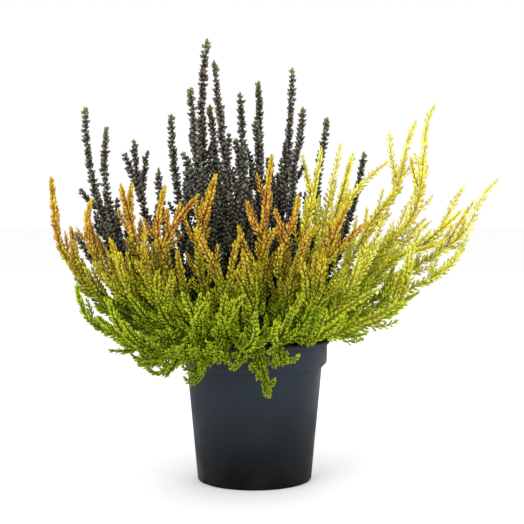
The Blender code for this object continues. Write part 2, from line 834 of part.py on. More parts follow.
def main():
    """Builds the pot, the peat and the shoots."""
    clear_scene()
    make_pot(material("pot_plastic", (0.020, 0.021, 0.024), 0.45))
    roots = spread_roots(SHOOTS)
    make_peat(roots, material("peat", (0.035, 0.022, 0.013), 0.95))
    looks = {
        sort.name: material(sort.name + "_foliage", sort.colour, sort.roughness)
        for sort in (DARK, AMBER, YELLOW)
    }
    strands = lay_strands(SHOOTS, roots)
    bend_clear(strands)
    counts = {}
    for node, shoot in enumerate(SHOOTS):
        sort = shoot.sort.name
        counts[sort] = counts.get(sort, 0) + 1
        own = [strand for strand in strands if strand.node == node]
        make_shoot(f"{sort}_shoot_{counts[sort]:02d}", own, looks[sort])


main()
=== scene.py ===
"""A potted trio of hardy heathers: dark, amber and yellow leafy shoots in a plain nursery pot.

The frame is in metres, with +Z up, the origin at the centre of the pot's underside, +X to the viewer's
right and +Y away from the viewer. Every shoot grows along the same curve as the plain solid that it
stands for, with a barked stem and hundreds of short side shoots that carry pairs of scale leaves.
"""

from __future__ import annotations

import json
import logging
import math
import random
from dataclasses import dataclass, field
from enum import Enum

import bmesh
import bpy
from mathutils import Matrix, Vector, noise
from mathutils.kdtree import KDTree

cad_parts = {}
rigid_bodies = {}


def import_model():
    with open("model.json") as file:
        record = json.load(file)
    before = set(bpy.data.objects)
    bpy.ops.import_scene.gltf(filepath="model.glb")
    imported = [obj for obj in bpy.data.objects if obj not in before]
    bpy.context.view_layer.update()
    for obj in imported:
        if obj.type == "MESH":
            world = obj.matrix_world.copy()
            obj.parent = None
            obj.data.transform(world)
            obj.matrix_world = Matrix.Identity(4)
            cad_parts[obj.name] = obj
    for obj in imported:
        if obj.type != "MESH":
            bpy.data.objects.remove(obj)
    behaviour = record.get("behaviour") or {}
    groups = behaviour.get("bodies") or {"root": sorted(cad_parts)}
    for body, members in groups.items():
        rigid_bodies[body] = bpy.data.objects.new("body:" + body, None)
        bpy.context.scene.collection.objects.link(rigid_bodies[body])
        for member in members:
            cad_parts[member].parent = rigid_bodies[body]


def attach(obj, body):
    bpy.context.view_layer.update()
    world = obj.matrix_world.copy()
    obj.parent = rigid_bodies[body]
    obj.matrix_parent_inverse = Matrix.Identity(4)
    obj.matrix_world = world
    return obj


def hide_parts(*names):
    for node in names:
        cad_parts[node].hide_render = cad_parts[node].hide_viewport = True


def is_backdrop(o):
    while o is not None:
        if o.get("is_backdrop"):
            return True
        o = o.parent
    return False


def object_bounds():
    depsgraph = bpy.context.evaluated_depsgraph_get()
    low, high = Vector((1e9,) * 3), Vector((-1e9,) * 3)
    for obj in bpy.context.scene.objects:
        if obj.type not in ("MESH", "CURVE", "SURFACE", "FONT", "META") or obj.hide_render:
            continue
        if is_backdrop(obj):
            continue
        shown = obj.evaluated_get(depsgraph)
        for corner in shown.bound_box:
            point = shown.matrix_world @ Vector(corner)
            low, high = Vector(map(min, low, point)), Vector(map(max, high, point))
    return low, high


Pair = tuple[float, float]
Triple = tuple[float, float, float]

LOG = logging.getLogger("potted_heather")
UP = Vector((0.0, 0.0, 1.0))
MERGE = 1e-6


class Heather(Enum):
    """The three heathers that share the pot."""

    DARK = "dark"
    AMBER = "amber"
    YELLOW = "yellow"


DARK, AMBER, YELLOW = Heather


@dataclass(frozen=True)
class Habit:
    """How the shoots of one heather grow, as the solids that they stand for do.

    Lengths are in metres, and elbow_reach and elbow_rise are shares of the way from root to tip.
    """

    leaf_reach: float
    pitch: float
    elbow_reach: float
    elbow_rise: float
    bare: float
    twigs: int
    twig_zone: Pair


HABITS: dict[Heather, Habit] = {
    DARK: Habit(0.0048, 0.0124, 0.93, 0.26, 0.20, 1, (0.25, 0.55)),
    AMBER: Habit(0.0054, 0.0114, 1.00, 0.18, 0.18, 2, (0.28, 0.72)),
    YELLOW: Habit(0.0048, 0.0118, 0.55, 0.33, 0.22, 2, (0.30, 0.78)),
}


@dataclass(frozen=True)
class ShootPlan:
    """One leafy shoot: its tip, the places (x, z) that its stem passes, and its branches' tips."""

    kind: Heather
    tip: Triple
    via: tuple[Pair, ...] = ()
    forks: tuple[Triple, ...] = ()


PLANS: tuple[ShootPlan, ...] = (
    ShootPlan(DARK, (-0.138, 0.035, 0.300), ((-0.128, 0.225),)),
    ShootPlan(DARK, (-0.119, 0.020, 0.283), ((-0.113, 0.202),)),
    ShootPlan(
        DARK, (-0.100, 0.045, 0.274), ((-0.088, 0.205),), ((-0.107, 0.030, 0.262), (-0.089, 0.060, 0.265))
    ),
    ShootPlan(DARK, (-0.068, 0.030, 0.294), ((-0.061, 0.221),), ((-0.056, 0.065, 0.252),)),
    ShootPlan(DARK, (-0.076, 0.000, 0.250), ((-0.071, 0.200),)),
    ShootPlan(DARK, (-0.051, 0.008, 0.314), ((-0.045, 0.250),), ((-0.057, -0.006, 0.262),)),
    ShootPlan(DARK, (-0.038, 0.030, 0.355), ((-0.043, 0.270),)),
    ShootPlan(DARK, (-0.038, 0.055, 0.303), ((-0.031, 0.245),), ((-0.032, 0.088, 0.250),)),
    ShootPlan(DARK, (-0.033, 0.015, 0.336), ((-0.023, 0.255),)),
    ShootPlan(DARK, (-0.012, 0.032, 0.312), ((-0.008, 0.240),), ((-0.017, 0.014, 0.273),)),
    ShootPlan(DARK, (0.003, 0.048, 0.322), ((0.004, 0.260),), ((0.000, 0.020, 0.288),)),
    ShootPlan(
        DARK, (0.031, 0.038, 0.332), ((0.026, 0.250),), ((0.019, 0.050, 0.246), (0.010, 0.070, 0.259))
    ),
    ShootPlan(DARK, (0.039, 0.018, 0.299), ((0.032, 0.229),)),
    ShootPlan(DARK, (0.060, 0.045, 0.292), ((0.048, 0.222),)),
    ShootPlan(DARK, (0.092, 0.060, 0.264), ((0.078, 0.207),)),
    ShootPlan(DARK, (-0.150, 0.050, 0.196), ((-0.120, 0.155),), ((-0.137, 0.040, 0.141),)),
    ShootPlan(DARK, (-0.100, 0.095, 0.205), (), ((-0.070, 0.118, 0.180), (-0.118, 0.078, 0.170))),
    ShootPlan(DARK, (-0.030, 0.128, 0.188), (), ((-0.048, 0.112, 0.215), (-0.018, 0.134, 0.150))),
    ShootPlan(DARK, (0.022, 0.128, 0.205), (), ((0.020, 0.095, 0.240), (0.038, 0.132, 0.165))),
    ShootPlan(DARK, (0.066, 0.115, 0.190), (), ((0.052, 0.098, 0.222), (0.085, 0.105, 0.162))),
    ShootPlan(
        AMBER,
        (-0.160, -0.010, 0.242),
        ((-0.100, 0.130), (-0.121, 0.145), (-0.140, 0.166), (-0.154, 0.190)),
        ((-0.143, -0.022, 0.194),),
    ),
    ShootPlan(
        AMBER,
        (-0.127, -0.015, 0.225),
        ((-0.110, 0.155), (-0.127, 0.180), (-0.131, 0.205)),
        ((-0.137, -0.002, 0.213), (-0.114, -0.024, 0.184)),
    ),
    ShootPlan(AMBER, (-0.095, -0.020, 0.238), ((-0.093, 0.185),), ((-0.103, -0.034, 0.236),)),
    ShootPlan(AMBER, (-0.068, -0.030, 0.235), ((-0.074, 0.180),), ((-0.043, -0.022, 0.226),)),
    ShootPlan(AMBER, (-0.029, -0.028, 0.242), ((-0.043, 0.195),), ((-0.031, -0.010, 0.232),)),
    ShootPlan(
        AMBER,
        (-0.111, -0.035, 0.195),
        ((-0.082, 0.134), (-0.099, 0.157)),
        ((-0.103, -0.052, 0.186), (-0.124, -0.030, 0.176)),
    ),
    ShootPlan(AMBER, (-0.083, -0.042, 0.203), ((-0.083, 0.165),), ((-0.092, -0.052, 0.176),)),
    ShootPlan(AMBER, (-0.071, -0.066, 0.172), ((-0.070, 0.140),), ((-0.058, -0.078, 0.166),)),
    ShootPlan(
        AMBER,
        (-0.138, -0.025, 0.159),
        ((-0.056, 0.120), (-0.080, 0.106), (-0.108, 0.117), (-0.128, 0.130), (-0.136, 0.145)),
        ((-0.122, -0.038, 0.134),),
    ),
    ShootPlan(
        AMBER,
        (-0.109, -0.060, 0.150),
        ((-0.050, 0.122), (-0.074, 0.107), (-0.094, 0.115), (-0.105, 0.134)),
        ((-0.096, -0.080, 0.134),),
    ),
    ShootPlan(
        AMBER, (-0.089, -0.055, 0.099), ((-0.044, 0.122), (-0.060, 0.104)), ((-0.066, -0.068, 0.096),)
    ),
    ShootPlan(
        AMBER,
        (-0.039, -0.090, 0.157),
        ((-0.033, 0.120), (-0.042, 0.106), (-0.043, 0.125)),
        ((-0.056, -0.088, 0.146), (-0.036, -0.104, 0.138), (-0.040, -0.082, 0.094)),
    ),
    ShootPlan(
        AMBER,
        (-0.020, -0.098, 0.158),
        ((-0.021, 0.120), (-0.028, 0.105), (-0.026, 0.124)),
        ((-0.008, -0.092, 0.153),),
    ),
    ShootPlan(
        AMBER, (0.001, -0.112, 0.146), ((-0.011, 0.120), (-0.015, 0.102), (-0.005, 0.105), (0.001, 0.122))
    ),
    ShootPlan(
        AMBER,
        (0.016, -0.108, 0.138),
        ((0.004, 0.120), (0.009, 0.106), (0.013, 0.116)),
        ((0.030, -0.098, 0.146),),
    ),
    ShootPlan(
        AMBER,
        (0.053, -0.086, 0.146),
        ((0.033, 0.120), (0.040, 0.108), (0.046, 0.122)),
        ((0.068, -0.074, 0.134),),
    ),
    ShootPlan(AMBER, (0.011, -0.086, 0.078), ((0.006, 0.124),)),
    ShootPlan(AMBER, (0.014, -0.020, 0.259), ((0.008, 0.205),), ((0.018, -0.036, 0.203),)),
    ShootPlan(AMBER, (-0.011, -0.040, 0.197), ((-0.018, 0.165),), ((-0.045, -0.055, 0.203),)),
    ShootPlan(AMBER, (0.034, -0.030, 0.228), ((0.026, 0.176),)),
    ShootPlan(AMBER, (0.049, -0.045, 0.205), ((0.034, 0.170),)),
    ShootPlan(AMBER, (0.073, -0.034, 0.224), ((0.058, 0.186),), ((0.088, -0.030, 0.206),)),
    ShootPlan(AMBER, (0.052, -0.060, 0.188), ((0.048, 0.152),), ((0.068, -0.068, 0.173),)),
    ShootPlan(AMBER, (0.001, -0.062, 0.177), ((0.000, 0.150),), ((-0.014, -0.074, 0.172),)),
    ShootPlan(AMBER, (-0.150, 0.018, 0.170), ((-0.122, 0.140),), ((-0.130, 0.008, 0.138),)),
    ShootPlan(YELLOW, (0.054, 0.012, 0.266), ((0.048, 0.232),)),
    ShootPlan(YELLOW, (0.071, 0.040, 0.270), ((0.060, 0.220),), ((0.112, 0.046, 0.256),)),
    ShootPlan(YELLOW, (0.080, 0.018, 0.263), ((0.068, 0.220),), ((0.087, -0.008, 0.239),)),
    ShootPlan(
        YELLOW,
        (0.130, 0.014, 0.288),
        ((0.093, 0.200), (0.114, 0.233), (0.122, 0.265)),
        ((0.110, 0.006, 0.213),),
    ),
    ShootPlan(
        YELLOW, (0.143, -0.004, 0.299), ((0.105, 0.184), (0.128, 0.217), (0.133, 0.253), (0.136, 0.284))
    ),
    ShootPlan(
        YELLOW,
        (0.166, -0.008, 0.236),
        ((0.109, 0.175), (0.141, 0.191), (0.155, 0.217)),
        ((0.148, -0.024, 0.192),),
    ),
    ShootPlan(
        YELLOW, (0.196, 0.012, 0.240), ((0.100, 0.146), (0.138, 0.175), (0.167, 0.195), (0.183, 0.225))
    ),
    ShootPlan(YELLOW, (0.167, -0.030, 0.200), ((0.096, 0.136), (0.124, 0.155), (0.150, 0.170))),
    ShootPlan(YELLOW, (0.129, -0.036, 0.203), ((0.101, 0.134), (0.117, 0.158), (0.122, 0.186))),
    ShootPlan(
        YELLOW, (0.096, -0.045, 0.196), ((0.085, 0.172),), ((0.096, -0.064, 0.158), (0.080, -0.056, 0.186))
    ),
    ShootPlan(YELLOW, (0.126, 0.030, 0.221), ((0.112, 0.190),)),
    ShootPlan(YELLOW, (0.114, -0.040, 0.148), ((0.070, 0.123), (0.097, 0.135))),
    ShootPlan(YELLOW, (0.110, 0.085, 0.190), (), ((0.148, 0.052, 0.205), (0.124, 0.072, 0.160))),
)


def clamp(value: float) -> float:
    """The value, held between 0 and 1."""
    return min(1.0, max(0.0, value))


def between(ends: Pair, share: float) -> float:
    """The value at a share of the way from the first end to the second."""
    return ends[0] + (ends[1] - ends[0]) * share


def side_of(along: Vector, turn: float) -> Vector:
    """A side across a direction, turned about it by an angle."""
    side = along.orthogonal().normalized()
    side.rotate(Matrix.Rotation(turn, 3, along))
    return side


@dataclass(frozen=True)
class Bend:
    """How a twig leaves a stem at an angle, and how far outward and upward it then turns."""

    angle: float
    flare: float
    rise: float

    def reach(self, start: Vector, along: Vector, side: Vector, length: float) -> tuple[Vector, Vector]:
        """Where a twig bends and where it ends.

        Args:
            start: Where it leaves the stem.
            along: The stem's direction there.
            side: The side that it starts on.
            length: The twig's length.

        Returns:
            The elbow and the tip.
        """
        elbow = start + (along + side * math.tan(self.angle)).normalized() * length / 2
        onward = along + side * self.flare + UP * self.rise
        return elbow, elbow + onward.normalized() * length / 2


@dataclass
class Strand:
    """A shoot's stem or one of its branches, as points at even steps from its root to its tip."""

    node: int
    kind: Heather
    points: list[Vector]
    bare: float
    parent: Strand | None = None
    joint: int = 0
    sprig: bool = False

    STEM_REACH = 0.0032
    SWELL = (0.80, 1.25)

    @property
    def habit(self) -> Habit:
        """How this strand's heather grows."""
        return HABITS[self.kind]

    @property
    def spacing(self) -> float:
        """The mean distance between neighbouring points."""
        return sum((b - a).length for a, b in zip(self.points, self.points[1:])) / (len(self.points) - 1)

    def leafy(self, place: int) -> bool:
        """Whether the stem has leaves at one of its points."""
        return place >= max(2, self.bare * (len(self.points) - 1))

    def reach(self, place: int) -> float:
        """How far the strand stands out around one of its points.

        Args:
            place: The point's number, counted from the root.

        Returns:
            The distance from the stem's middle, in metres.
        """
        if not self.leafy(place):
            return self.STEM_REACH
        along = (place / (len(self.points) - 1) - self.bare) / (1 - self.bare)
        return self.habit.leaf_reach * between(self.SWELL, math.sin(math.pi * clamp(along)))


@dataclass
class ShootLayout:
    """Where every stem, branch and twig runs."""

    rim_radius: float = 0.060
    rim_top: float = 0.112
    peat_top: float = 0.102
    root_reach: float = 0.046
    full_lean: float = math.radians(90)
    root_crowding: float = 0.6
    root_apart: float = 0.0075
    root_edge: float = 0.047
    root_rounds: int = 80
    fine_steps: int = 60
    clearance: float = 0.0012
    rim_berth: float = 0.0095
    clear_rounds: int = 260
    clear_enough: float = 0.0002
    sideways_share: float = 0.45
    depth_nudge: float = 0.3
    kink: float = 0.07
    kink_ease: float = 0.5
    joint_berth: int = 4
    fork_back: float = 1.3
    fork_least: float = 0.022
    fork_lean: float = 0.45
    fork_straight: float = 0.5
    twig_seed: int = 47
    twig_lowest_tip: float = 0.150
    twig_length: Pair = (0.030, 0.048)
    twig_bend: Bend = Bend(math.radians(40), 0.3, 0.35)

    def spread_roots(self) -> list[Vector]:
        """Where each stem stands: towards its tip, further out the more it leans, and all apart.

        Returns:
            One place on the peat for each shoot.
        """
        roots = []
        for plan in PLANS:
            flat = Vector(plan.tip).to_2d()
            lean = math.atan2(flat.length, plan.tip[2] - self.peat_top)
            share = min(1.0, lean / self.full_lean) ** self.root_crowding
            roots.append(flat.normalized() * self.root_reach * share)
        for _ in range(self.root_rounds):
            for place, root in enumerate(roots):
                for other in roots[place + 1 :]:
                    apart = root - other
                    short = self.root_apart - apart.length
                    if short > 0.0:
                        move = apart.normalized() * short / 2
                        root += move
                        other -= move
            for root in roots:
                if root.length > self.root_edge:
                    root *= self.root_edge / root.length
        return [Vector((root.x, root.y, self.peat_top)) for root in roots]

    def passed_places(self, root: Vector, tip: Vector, via: tuple[Pair, ...]) -> list[Vector]:
        """The root, the places that the stem passes, and the tip, with y spread along the way.

        Args:
            root: Where the stem leaves the peat.
            tip: Where it ends.
            via: The places (x, z) between them.

        Returns:
            All the places in order.
        """
        flat = [(root.x, root.z), *via, (tip.x, tip.z)]
        gone = [0.0]
        for start, end in zip(flat, flat[1:]):
            gone.append(gone[-1] + math.dist(start, end))
        return [
            Vector((x, root.y + (tip.y - root.y) * way / gone[-1], z)) for (x, z), way in zip(flat, gone)
        ]

    def simple_bend(self, root: Vector, elbow: Vector, tip: Vector) -> list[Vector]:
        """Closely set points along the bend from the root towards the elbow and on to the tip.

        Args:
            root: The bend's start.
            elbow: The place that it leans towards.
            tip: The bend's end.

        Returns:
            The points.
        """
        fine = []
        for step in range(self.fine_steps + 1):
            t = step / self.fine_steps
            fine.append(root * (1 - t) ** 2 + elbow * (2 * t * (1 - t)) + tip * t**2)
        return fine

    def bend_over(self, places: list[Vector]) -> list[Vector]:
        """Closely set points along the simple bend that passes over the middle one of three places.

        Args:
            places: The root, the passed place and the tip.

        Returns:
            The points.
        """
        root, passed, tip = places
        share = (passed - root).length / ((passed - root).length + (tip - passed).length)
        elbow = (passed - root * (1 - share) ** 2 - tip * share**2) / (2 * share * (1 - share))
        return self.simple_bend(root, elbow, tip)

    def smooth_path(self, places: list[Vector]) -> list[Vector]:
        """Closely set points along a smooth curve through all the places.

        Args:
            places: Where the curve passes, in order.

        Returns:
            The points.
        """
        row = [places[0] * 2 - places[1], *places, places[-1] * 2 - places[-2]]
        fine = [places[0]]
        steps = self.fine_steps // 4
        for a, b, c, d in zip(row, row[1:], row[2:], row[3:]):
            for step in range(1, steps + 1):
                t = step / steps
                rise = (c - a) * t + (a * 2 - b * 5 + c * 4 - d) * t**2 + (b * 3 - a - c * 3 + d) * t**3
                fine.append(b + rise / 2)
        return fine

    @staticmethod
    def even_steps(fine: list[Vector], pitch: float) -> list[Vector]:
        """Points at even steps of half a pitch or so along a line of closely set points.

        Args:
            fine: The closely set points.
            pitch: Twice the wanted step.

        Returns:
            The evenly set points.
        """
        travelled = [0.0]
        for start, end in zip(fine, fine[1:]):
            travelled.append(travelled[-1] + (end - start).length)
        count = 2 * max(2, round(travelled[-1] / pitch))
        points = []
        for place in range(count + 1):
            wanted = travelled[-1] * place / count
            index = max(1, next((i for i, gone in enumerate(travelled) if gone >= wanted), len(fine) - 1))
            share = (wanted - travelled[index - 1]) / (travelled[index] - travelled[index - 1])
            points.append(fine[index - 1].lerp(fine[index], share))
        return points

    def main_strand(self, node: int, plan: ShootPlan, root: Vector) -> Strand:
        """The stem of a shoot.

        Args:
            node: The shoot's number in the table of plans.
            plan: The shoot's plan.
            root: Where it leaves the peat.

        Returns:
            The strand.
        """
        habit = HABITS[plan.kind]
        tip = Vector(plan.tip)
        places = self.passed_places(root, tip, plan.via)
        if len(places) == 2:
            share = Vector((habit.elbow_reach, habit.elbow_reach, habit.elbow_rise))
            fine = self.simple_bend(root, root + (tip - root) * share, tip)
        elif len(places) == 3:
            fine = self.bend_over(places)
        else:
            fine = self.smooth_path(places)
        return Strand(node, plan.kind, self.even_steps(fine, habit.pitch), habit.bare)

    def side_strand(self, stem: Strand, joint: int, elbow: Vector, tip: Vector) -> Strand:
        """A branch or twig that leaves a stem at one of its points and bends towards its own tip.

        Args:
            stem: The stem that carries it.
            joint: The number of the stem's point.
            elbow: The place that it leans towards.
            tip: Where it ends.

        Returns:
            The strand.
        """
        points = self.even_steps(self.simple_bend(stem.points[joint], elbow, tip), stem.habit.pitch)
        return Strand(stem.node, stem.kind, points, 0.0, stem, joint)

    def start_of(self, stem: Strand, place: int) -> tuple[int, Vector, Vector]:
        """Where a branch starts, held clear of the stem's ends.

        Args:
            stem: The stem that carries it.
            place: The wanted point's number.

        Returns:
            The point's number, the point and the stem's direction there.
        """
        last = len(stem.points) - 1
        joint = max(self.joint_berth, min(last - self.joint_berth, place))
        start = stem.points[joint]
        return joint, start, (stem.points[joint + 1] - start).normalized()

    def fork_strand(self, stem: Strand, tip: Vector) -> Strand:
        """A branch that leaves the stem below the branch's own tip.

        Args:
            stem: The stem that carries it.
            tip: Where the branch ends.

        Returns:
            The strand.
        """
        away = [(tip - point).length for point in stem.points]
        nearest = min(range(len(away)), key=away.__getitem__)
        back = round((away[nearest] * self.fork_back + self.fork_least) * 2 / stem.habit.pitch)
        joint, start, along = self.start_of(stem, nearest - back)
        elbow = start + along * ((tip - start).length * self.fork_lean)
        return self.side_strand(stem, joint, elbow.lerp((start + tip) / 2, self.fork_straight), tip)

    def twig_strand(self, stem: Strand, share: float, turn: float, length: float) -> Strand:
        """A short twig on the stem's side that bends up beside it.

        Args:
            stem: The stem that carries it.
            share: How far up the stem it starts, from 0 to 1.
            turn: The side that it starts on, as an angle about the stem.
            length: The twig's length.

        Returns:
            The strand.
        """
        joint, start, along = self.start_of(stem, round(share * (len(stem.points) - 1)))
        side = side_of(along, turn)
        outward = side.x if stem.points[-1].x > 0.0 else -side.x
        if outward > 0.0 or side.z < 0.0:
            side.x = -side.x if outward > 0.0 else side.x
            side.z = abs(side.z)
        return self.side_strand(stem, joint, *self.twig_bend.reach(start, along, side, length))

    def lay(self) -> list[Strand]:
        """All stems, branches and twigs, as they would grow with nothing in their way.

        Returns:
            The strands, each stem before its own branches.
        """
        chance = random.Random(self.twig_seed)
        strands = []
        for node, (plan, root) in enumerate(zip(PLANS, self.spread_roots())):
            stem = self.main_strand(node, plan, root)
            strands.append(stem)
            strands.extend(self.fork_strand(stem, Vector(tip)) for tip in plan.forks)
            if plan.tip[2] < self.twig_lowest_tip:
                continue
            low, high = stem.habit.twig_zone
            for twig in range(stem.habit.twigs):
                share = low + (high - low) * (twig + chance.random()) / stem.habit.twigs
                length = chance.uniform(*self.twig_length)
                strands.append(self.twig_strand(stem, share, chance.uniform(0.0, math.tau), length))
        return strands

    def clear_of_pot(self, point: Vector, reach: float) -> None:
        """Lifts the point clear of the peat's top and, near the rim, of the rim.

        Args:
            point: The point, which is moved.
            reach: How far the leaves stand out around it.
        """
        radius = point.to_2d().length
        if radius < self.rim_radius + self.rim_berth:
            share = clamp((radius - self.rim_radius) / self.rim_berth + 2)
            height = between((self.peat_top, self.rim_top), share)
            point.z = max(point.z, height + reach + self.clearance)

    def pushes(self, strands: list[Strand], reaches: list[list[float]]) -> tuple[list[list[Vector]], float]:
        """How far each point should move to be clear of the other shoots.

        Args:
            strands: All the strands.
            reaches: How far the leaves stand out around each strand's points.

        Returns:
            The moves of each strand's points, and the worst overlap.
        """
        entries = [(s, p) for s, strand in enumerate(strands) for p in range(len(strand.points))]
        tree = KDTree(len(entries))
        for index, (s, p) in enumerate(entries):
            tree.insert(strands[s].points[p], index)
        tree.balance()
        widest = max(max(row) for row in reaches)
        moves = [[Vector() for _ in strand.points] for strand in strands]
        worst = 0.0
        for index, (s, p) in enumerate(entries):
            point = strands[s].points[p]
            reach = reaches[s][p] + self.clearance
            for other_point, other, distance in tree.find_range(point, reach + widest):
                t, q = entries[other]
                short = reach + reaches[t][q] - distance
                if other <= index or short <= 0.0 or strands[s].node == strands[t].node or p == q == 0:
                    continue
                worst = max(worst, short)
                away = (point - other_point) / max(distance, MERGE)
                nudge = math.copysign(self.depth_nudge, away.y)
                share = self.sideways_share
                push = Vector((away.x * share, away.y + nudge, away.z * share)) * (short / 2)
                moves[s][p] += push
                moves[t][q] -= push
        return moves, worst

    @staticmethod
    def smoothed(moves: list[Vector]) -> list[Vector]:
        """The moves along one strand, each shared with its neighbours, and none at its root.

        Args:
            moves: The moves as they are.

        Returns:
            The smoothed moves.
        """
        for _ in range(2):
            padded = [moves[0], *moves, moves[-1]]
            moves = [(a + b * 2 + c) / 4 for a, b, c in zip(padded, padded[1:], padded[2:])]
            moves[0] = Vector()
        return moves

    def ease_kinks(self, points: list[Vector]) -> None:
        """Draws each point that makes a sharp corner towards the middle of its two neighbours.

        Args:
            points: A strand's points, which are moved.
        """
        for place in range(2, len(points) - 1):
            across = points[place + 1] - points[place - 1]
            bend = (points[place + 1] + points[place - 1]) / 2 - points[place]
            if bend.length > self.kink * across.length:
                points[place] += bend * self.kink_ease

    def settle(self, strands: list[Strand]) -> None:
        """Bends the strands until no two shoots come close, with the stems' feet kept in place.

        Args:
            strands: All the strands, whose points are moved.
        """
        reaches = [[strand.reach(place) for place in range(len(strand.points))] for strand in strands]
        for _ in range(self.clear_rounds):
            moves, worst = self.pushes(strands, reaches)
            for strand, row, reach in zip(strands, moves, reaches):
                for place, move in enumerate(self.smoothed(row)):
                    strand.points[place] += move
                self.ease_kinks(strand.points)
                for place in range(1 if strand.parent is None else 2, len(strand.points)):
                    self.clear_of_pot(strand.points[place], reach[place])
                if strand.parent is not None:
                    shift = strand.parent.points[strand.joint] - strand.points[0]
                    for point in strand.points:
                        point += shift
            if worst < self.clear_enough:
                break


@dataclass(frozen=True)
class LeafFinish:
    """The colours of one heather's leaves, from the foot of a side shoot to its tip.

    The blush colours belong to shoots that the cold has tinged, the young one to the top of a shoot,
    the low ones to shoots near the pot's rim, and the deep ones to old leaves far from a shoot's tip,
    which also carry painted shade deep inside the plant and near the rim.
    """

    name: str
    foot: Triple
    tip: Triple
    blush_foot: Triple
    blush_tip: Triple
    young: Triple
    low_foot: Triple
    low_tip: Triple
    # deep and low_deep: the darker colour of old leaves, mixed with painted shade deep inside the plant and
    # near the rim
    deep: Triple
    low_deep: Triple
    young_from: float
    roughness: float = 0.6
    shine: float = 0.12
    relief: Pair = (0.35, 0.0004)


@dataclass(frozen=True)
class BarkFinish:
    """The colours of one heather's stems, old wood below and young wood above."""

    name: str
    old: Triple
    young: Triple
    roughness: float = 0.8
    age: Pair = (0.05, 0.55)
    streaks: Pair = (700.0, 0.6)
    relief: Pair = (0.6, 0.0003)


# The deep and low_deep colours stand for old leaves and also for painted shade deep inside the plant and
# near the rim
LEAVES: dict[Heather, LeafFinish] = {
    DARK: LeafFinish(
        name="dark_leaves",
        foot=(0.026, 0.036, 0.022),
        tip=(0.190, 0.225, 0.160),
        blush_foot=(0.050, 0.032, 0.023),
        blush_tip=(0.215, 0.198, 0.165),
        young=(0.240, 0.250, 0.070),
        low_foot=(0.014, 0.022, 0.010),
        low_tip=(0.095, 0.140, 0.064),
        deep=(0.034, 0.048, 0.026),
        low_deep=(0.016, 0.030, 0.011),
        young_from=0.93,
    ),
    AMBER: LeafFinish(
        name="amber_leaves",
        foot=(0.300, 0.110, 0.022),
        tip=(0.660, 0.500, 0.010),
        blush_foot=(0.340, 0.070, 0.040),
        blush_tip=(0.730, 0.385, 0.060),
        young=(0.580, 0.390, 0.012),
        low_foot=(0.150, 0.200, 0.006),
        low_tip=(0.440, 0.560, 0.010),
        deep=(0.400, 0.270, 0.008),
        low_deep=(0.070, 0.110, 0.004),
        young_from=0.72,
    ),
    YELLOW: LeafFinish(
        name="yellow_leaves",
        foot=(0.660, 0.580, 0.018),
        tip=(0.880, 0.850, 0.025),
        blush_foot=(0.740, 0.600, 0.080),
        blush_tip=(0.900, 0.830, 0.120),
        young=(0.900, 0.880, 0.160),
        low_foot=(0.260, 0.320, 0.010),
        low_tip=(0.600, 0.680, 0.018),
        deep=(0.540, 0.480, 0.010),
        low_deep=(0.180, 0.260, 0.008),
        young_from=0.72,
    ),
}

BARKS: dict[Heather, BarkFinish] = {
    DARK: BarkFinish("dark_bark", (0.050, 0.022, 0.016), (0.320, 0.095, 0.065)),
    AMBER: BarkFinish("amber_bark", (0.070, 0.036, 0.020), (0.300, 0.100, 0.045)),
    YELLOW: BarkFinish("yellow_bark", (0.260, 0.160, 0.060), (0.700, 0.560, 0.160)),
}


@dataclass(frozen=True)
class PotFinish:
    """The pot's moulded plastic: its colour near the collar, the painted shade that darkens it to nearly
    black at the foot, and its gloss.
    """

    name: str = "pot_plastic_moulded"
    # foot and collar: painted shade, nearly black at the foot and paler up to the collar
    foot: Triple = (0.0015, 0.0016, 0.0018)
    collar: Triple = (0.022, 0.030, 0.040)
    dust: Triple = (0.045, 0.052, 0.060)
    roughness: float = 0.42
    scuffed: float = 0.60
    shine: float = 0.09
    shade_fade_height: float = 0.095
    dusting: Pair = (38.0, 0.10)
    grain: Pair = (1600.0, 3.0)
    relief: Pair = (0.12, 0.0003)


@dataclass(frozen=True)
class PeatFinish:
    """The peat's colours: moist dark crumbs and paler dry ones."""

    name: str = "peat_crumbs"
    moist: Triple = (0.012, 0.008, 0.005)
    dry: Triple = (0.070, 0.042, 0.024)
    roughness: float = 0.95
    patches: Pair = (260.0, 0.8)
    grain: Pair = (1100.0, 5.0)
    relief: Pair = (0.9, 0.001)


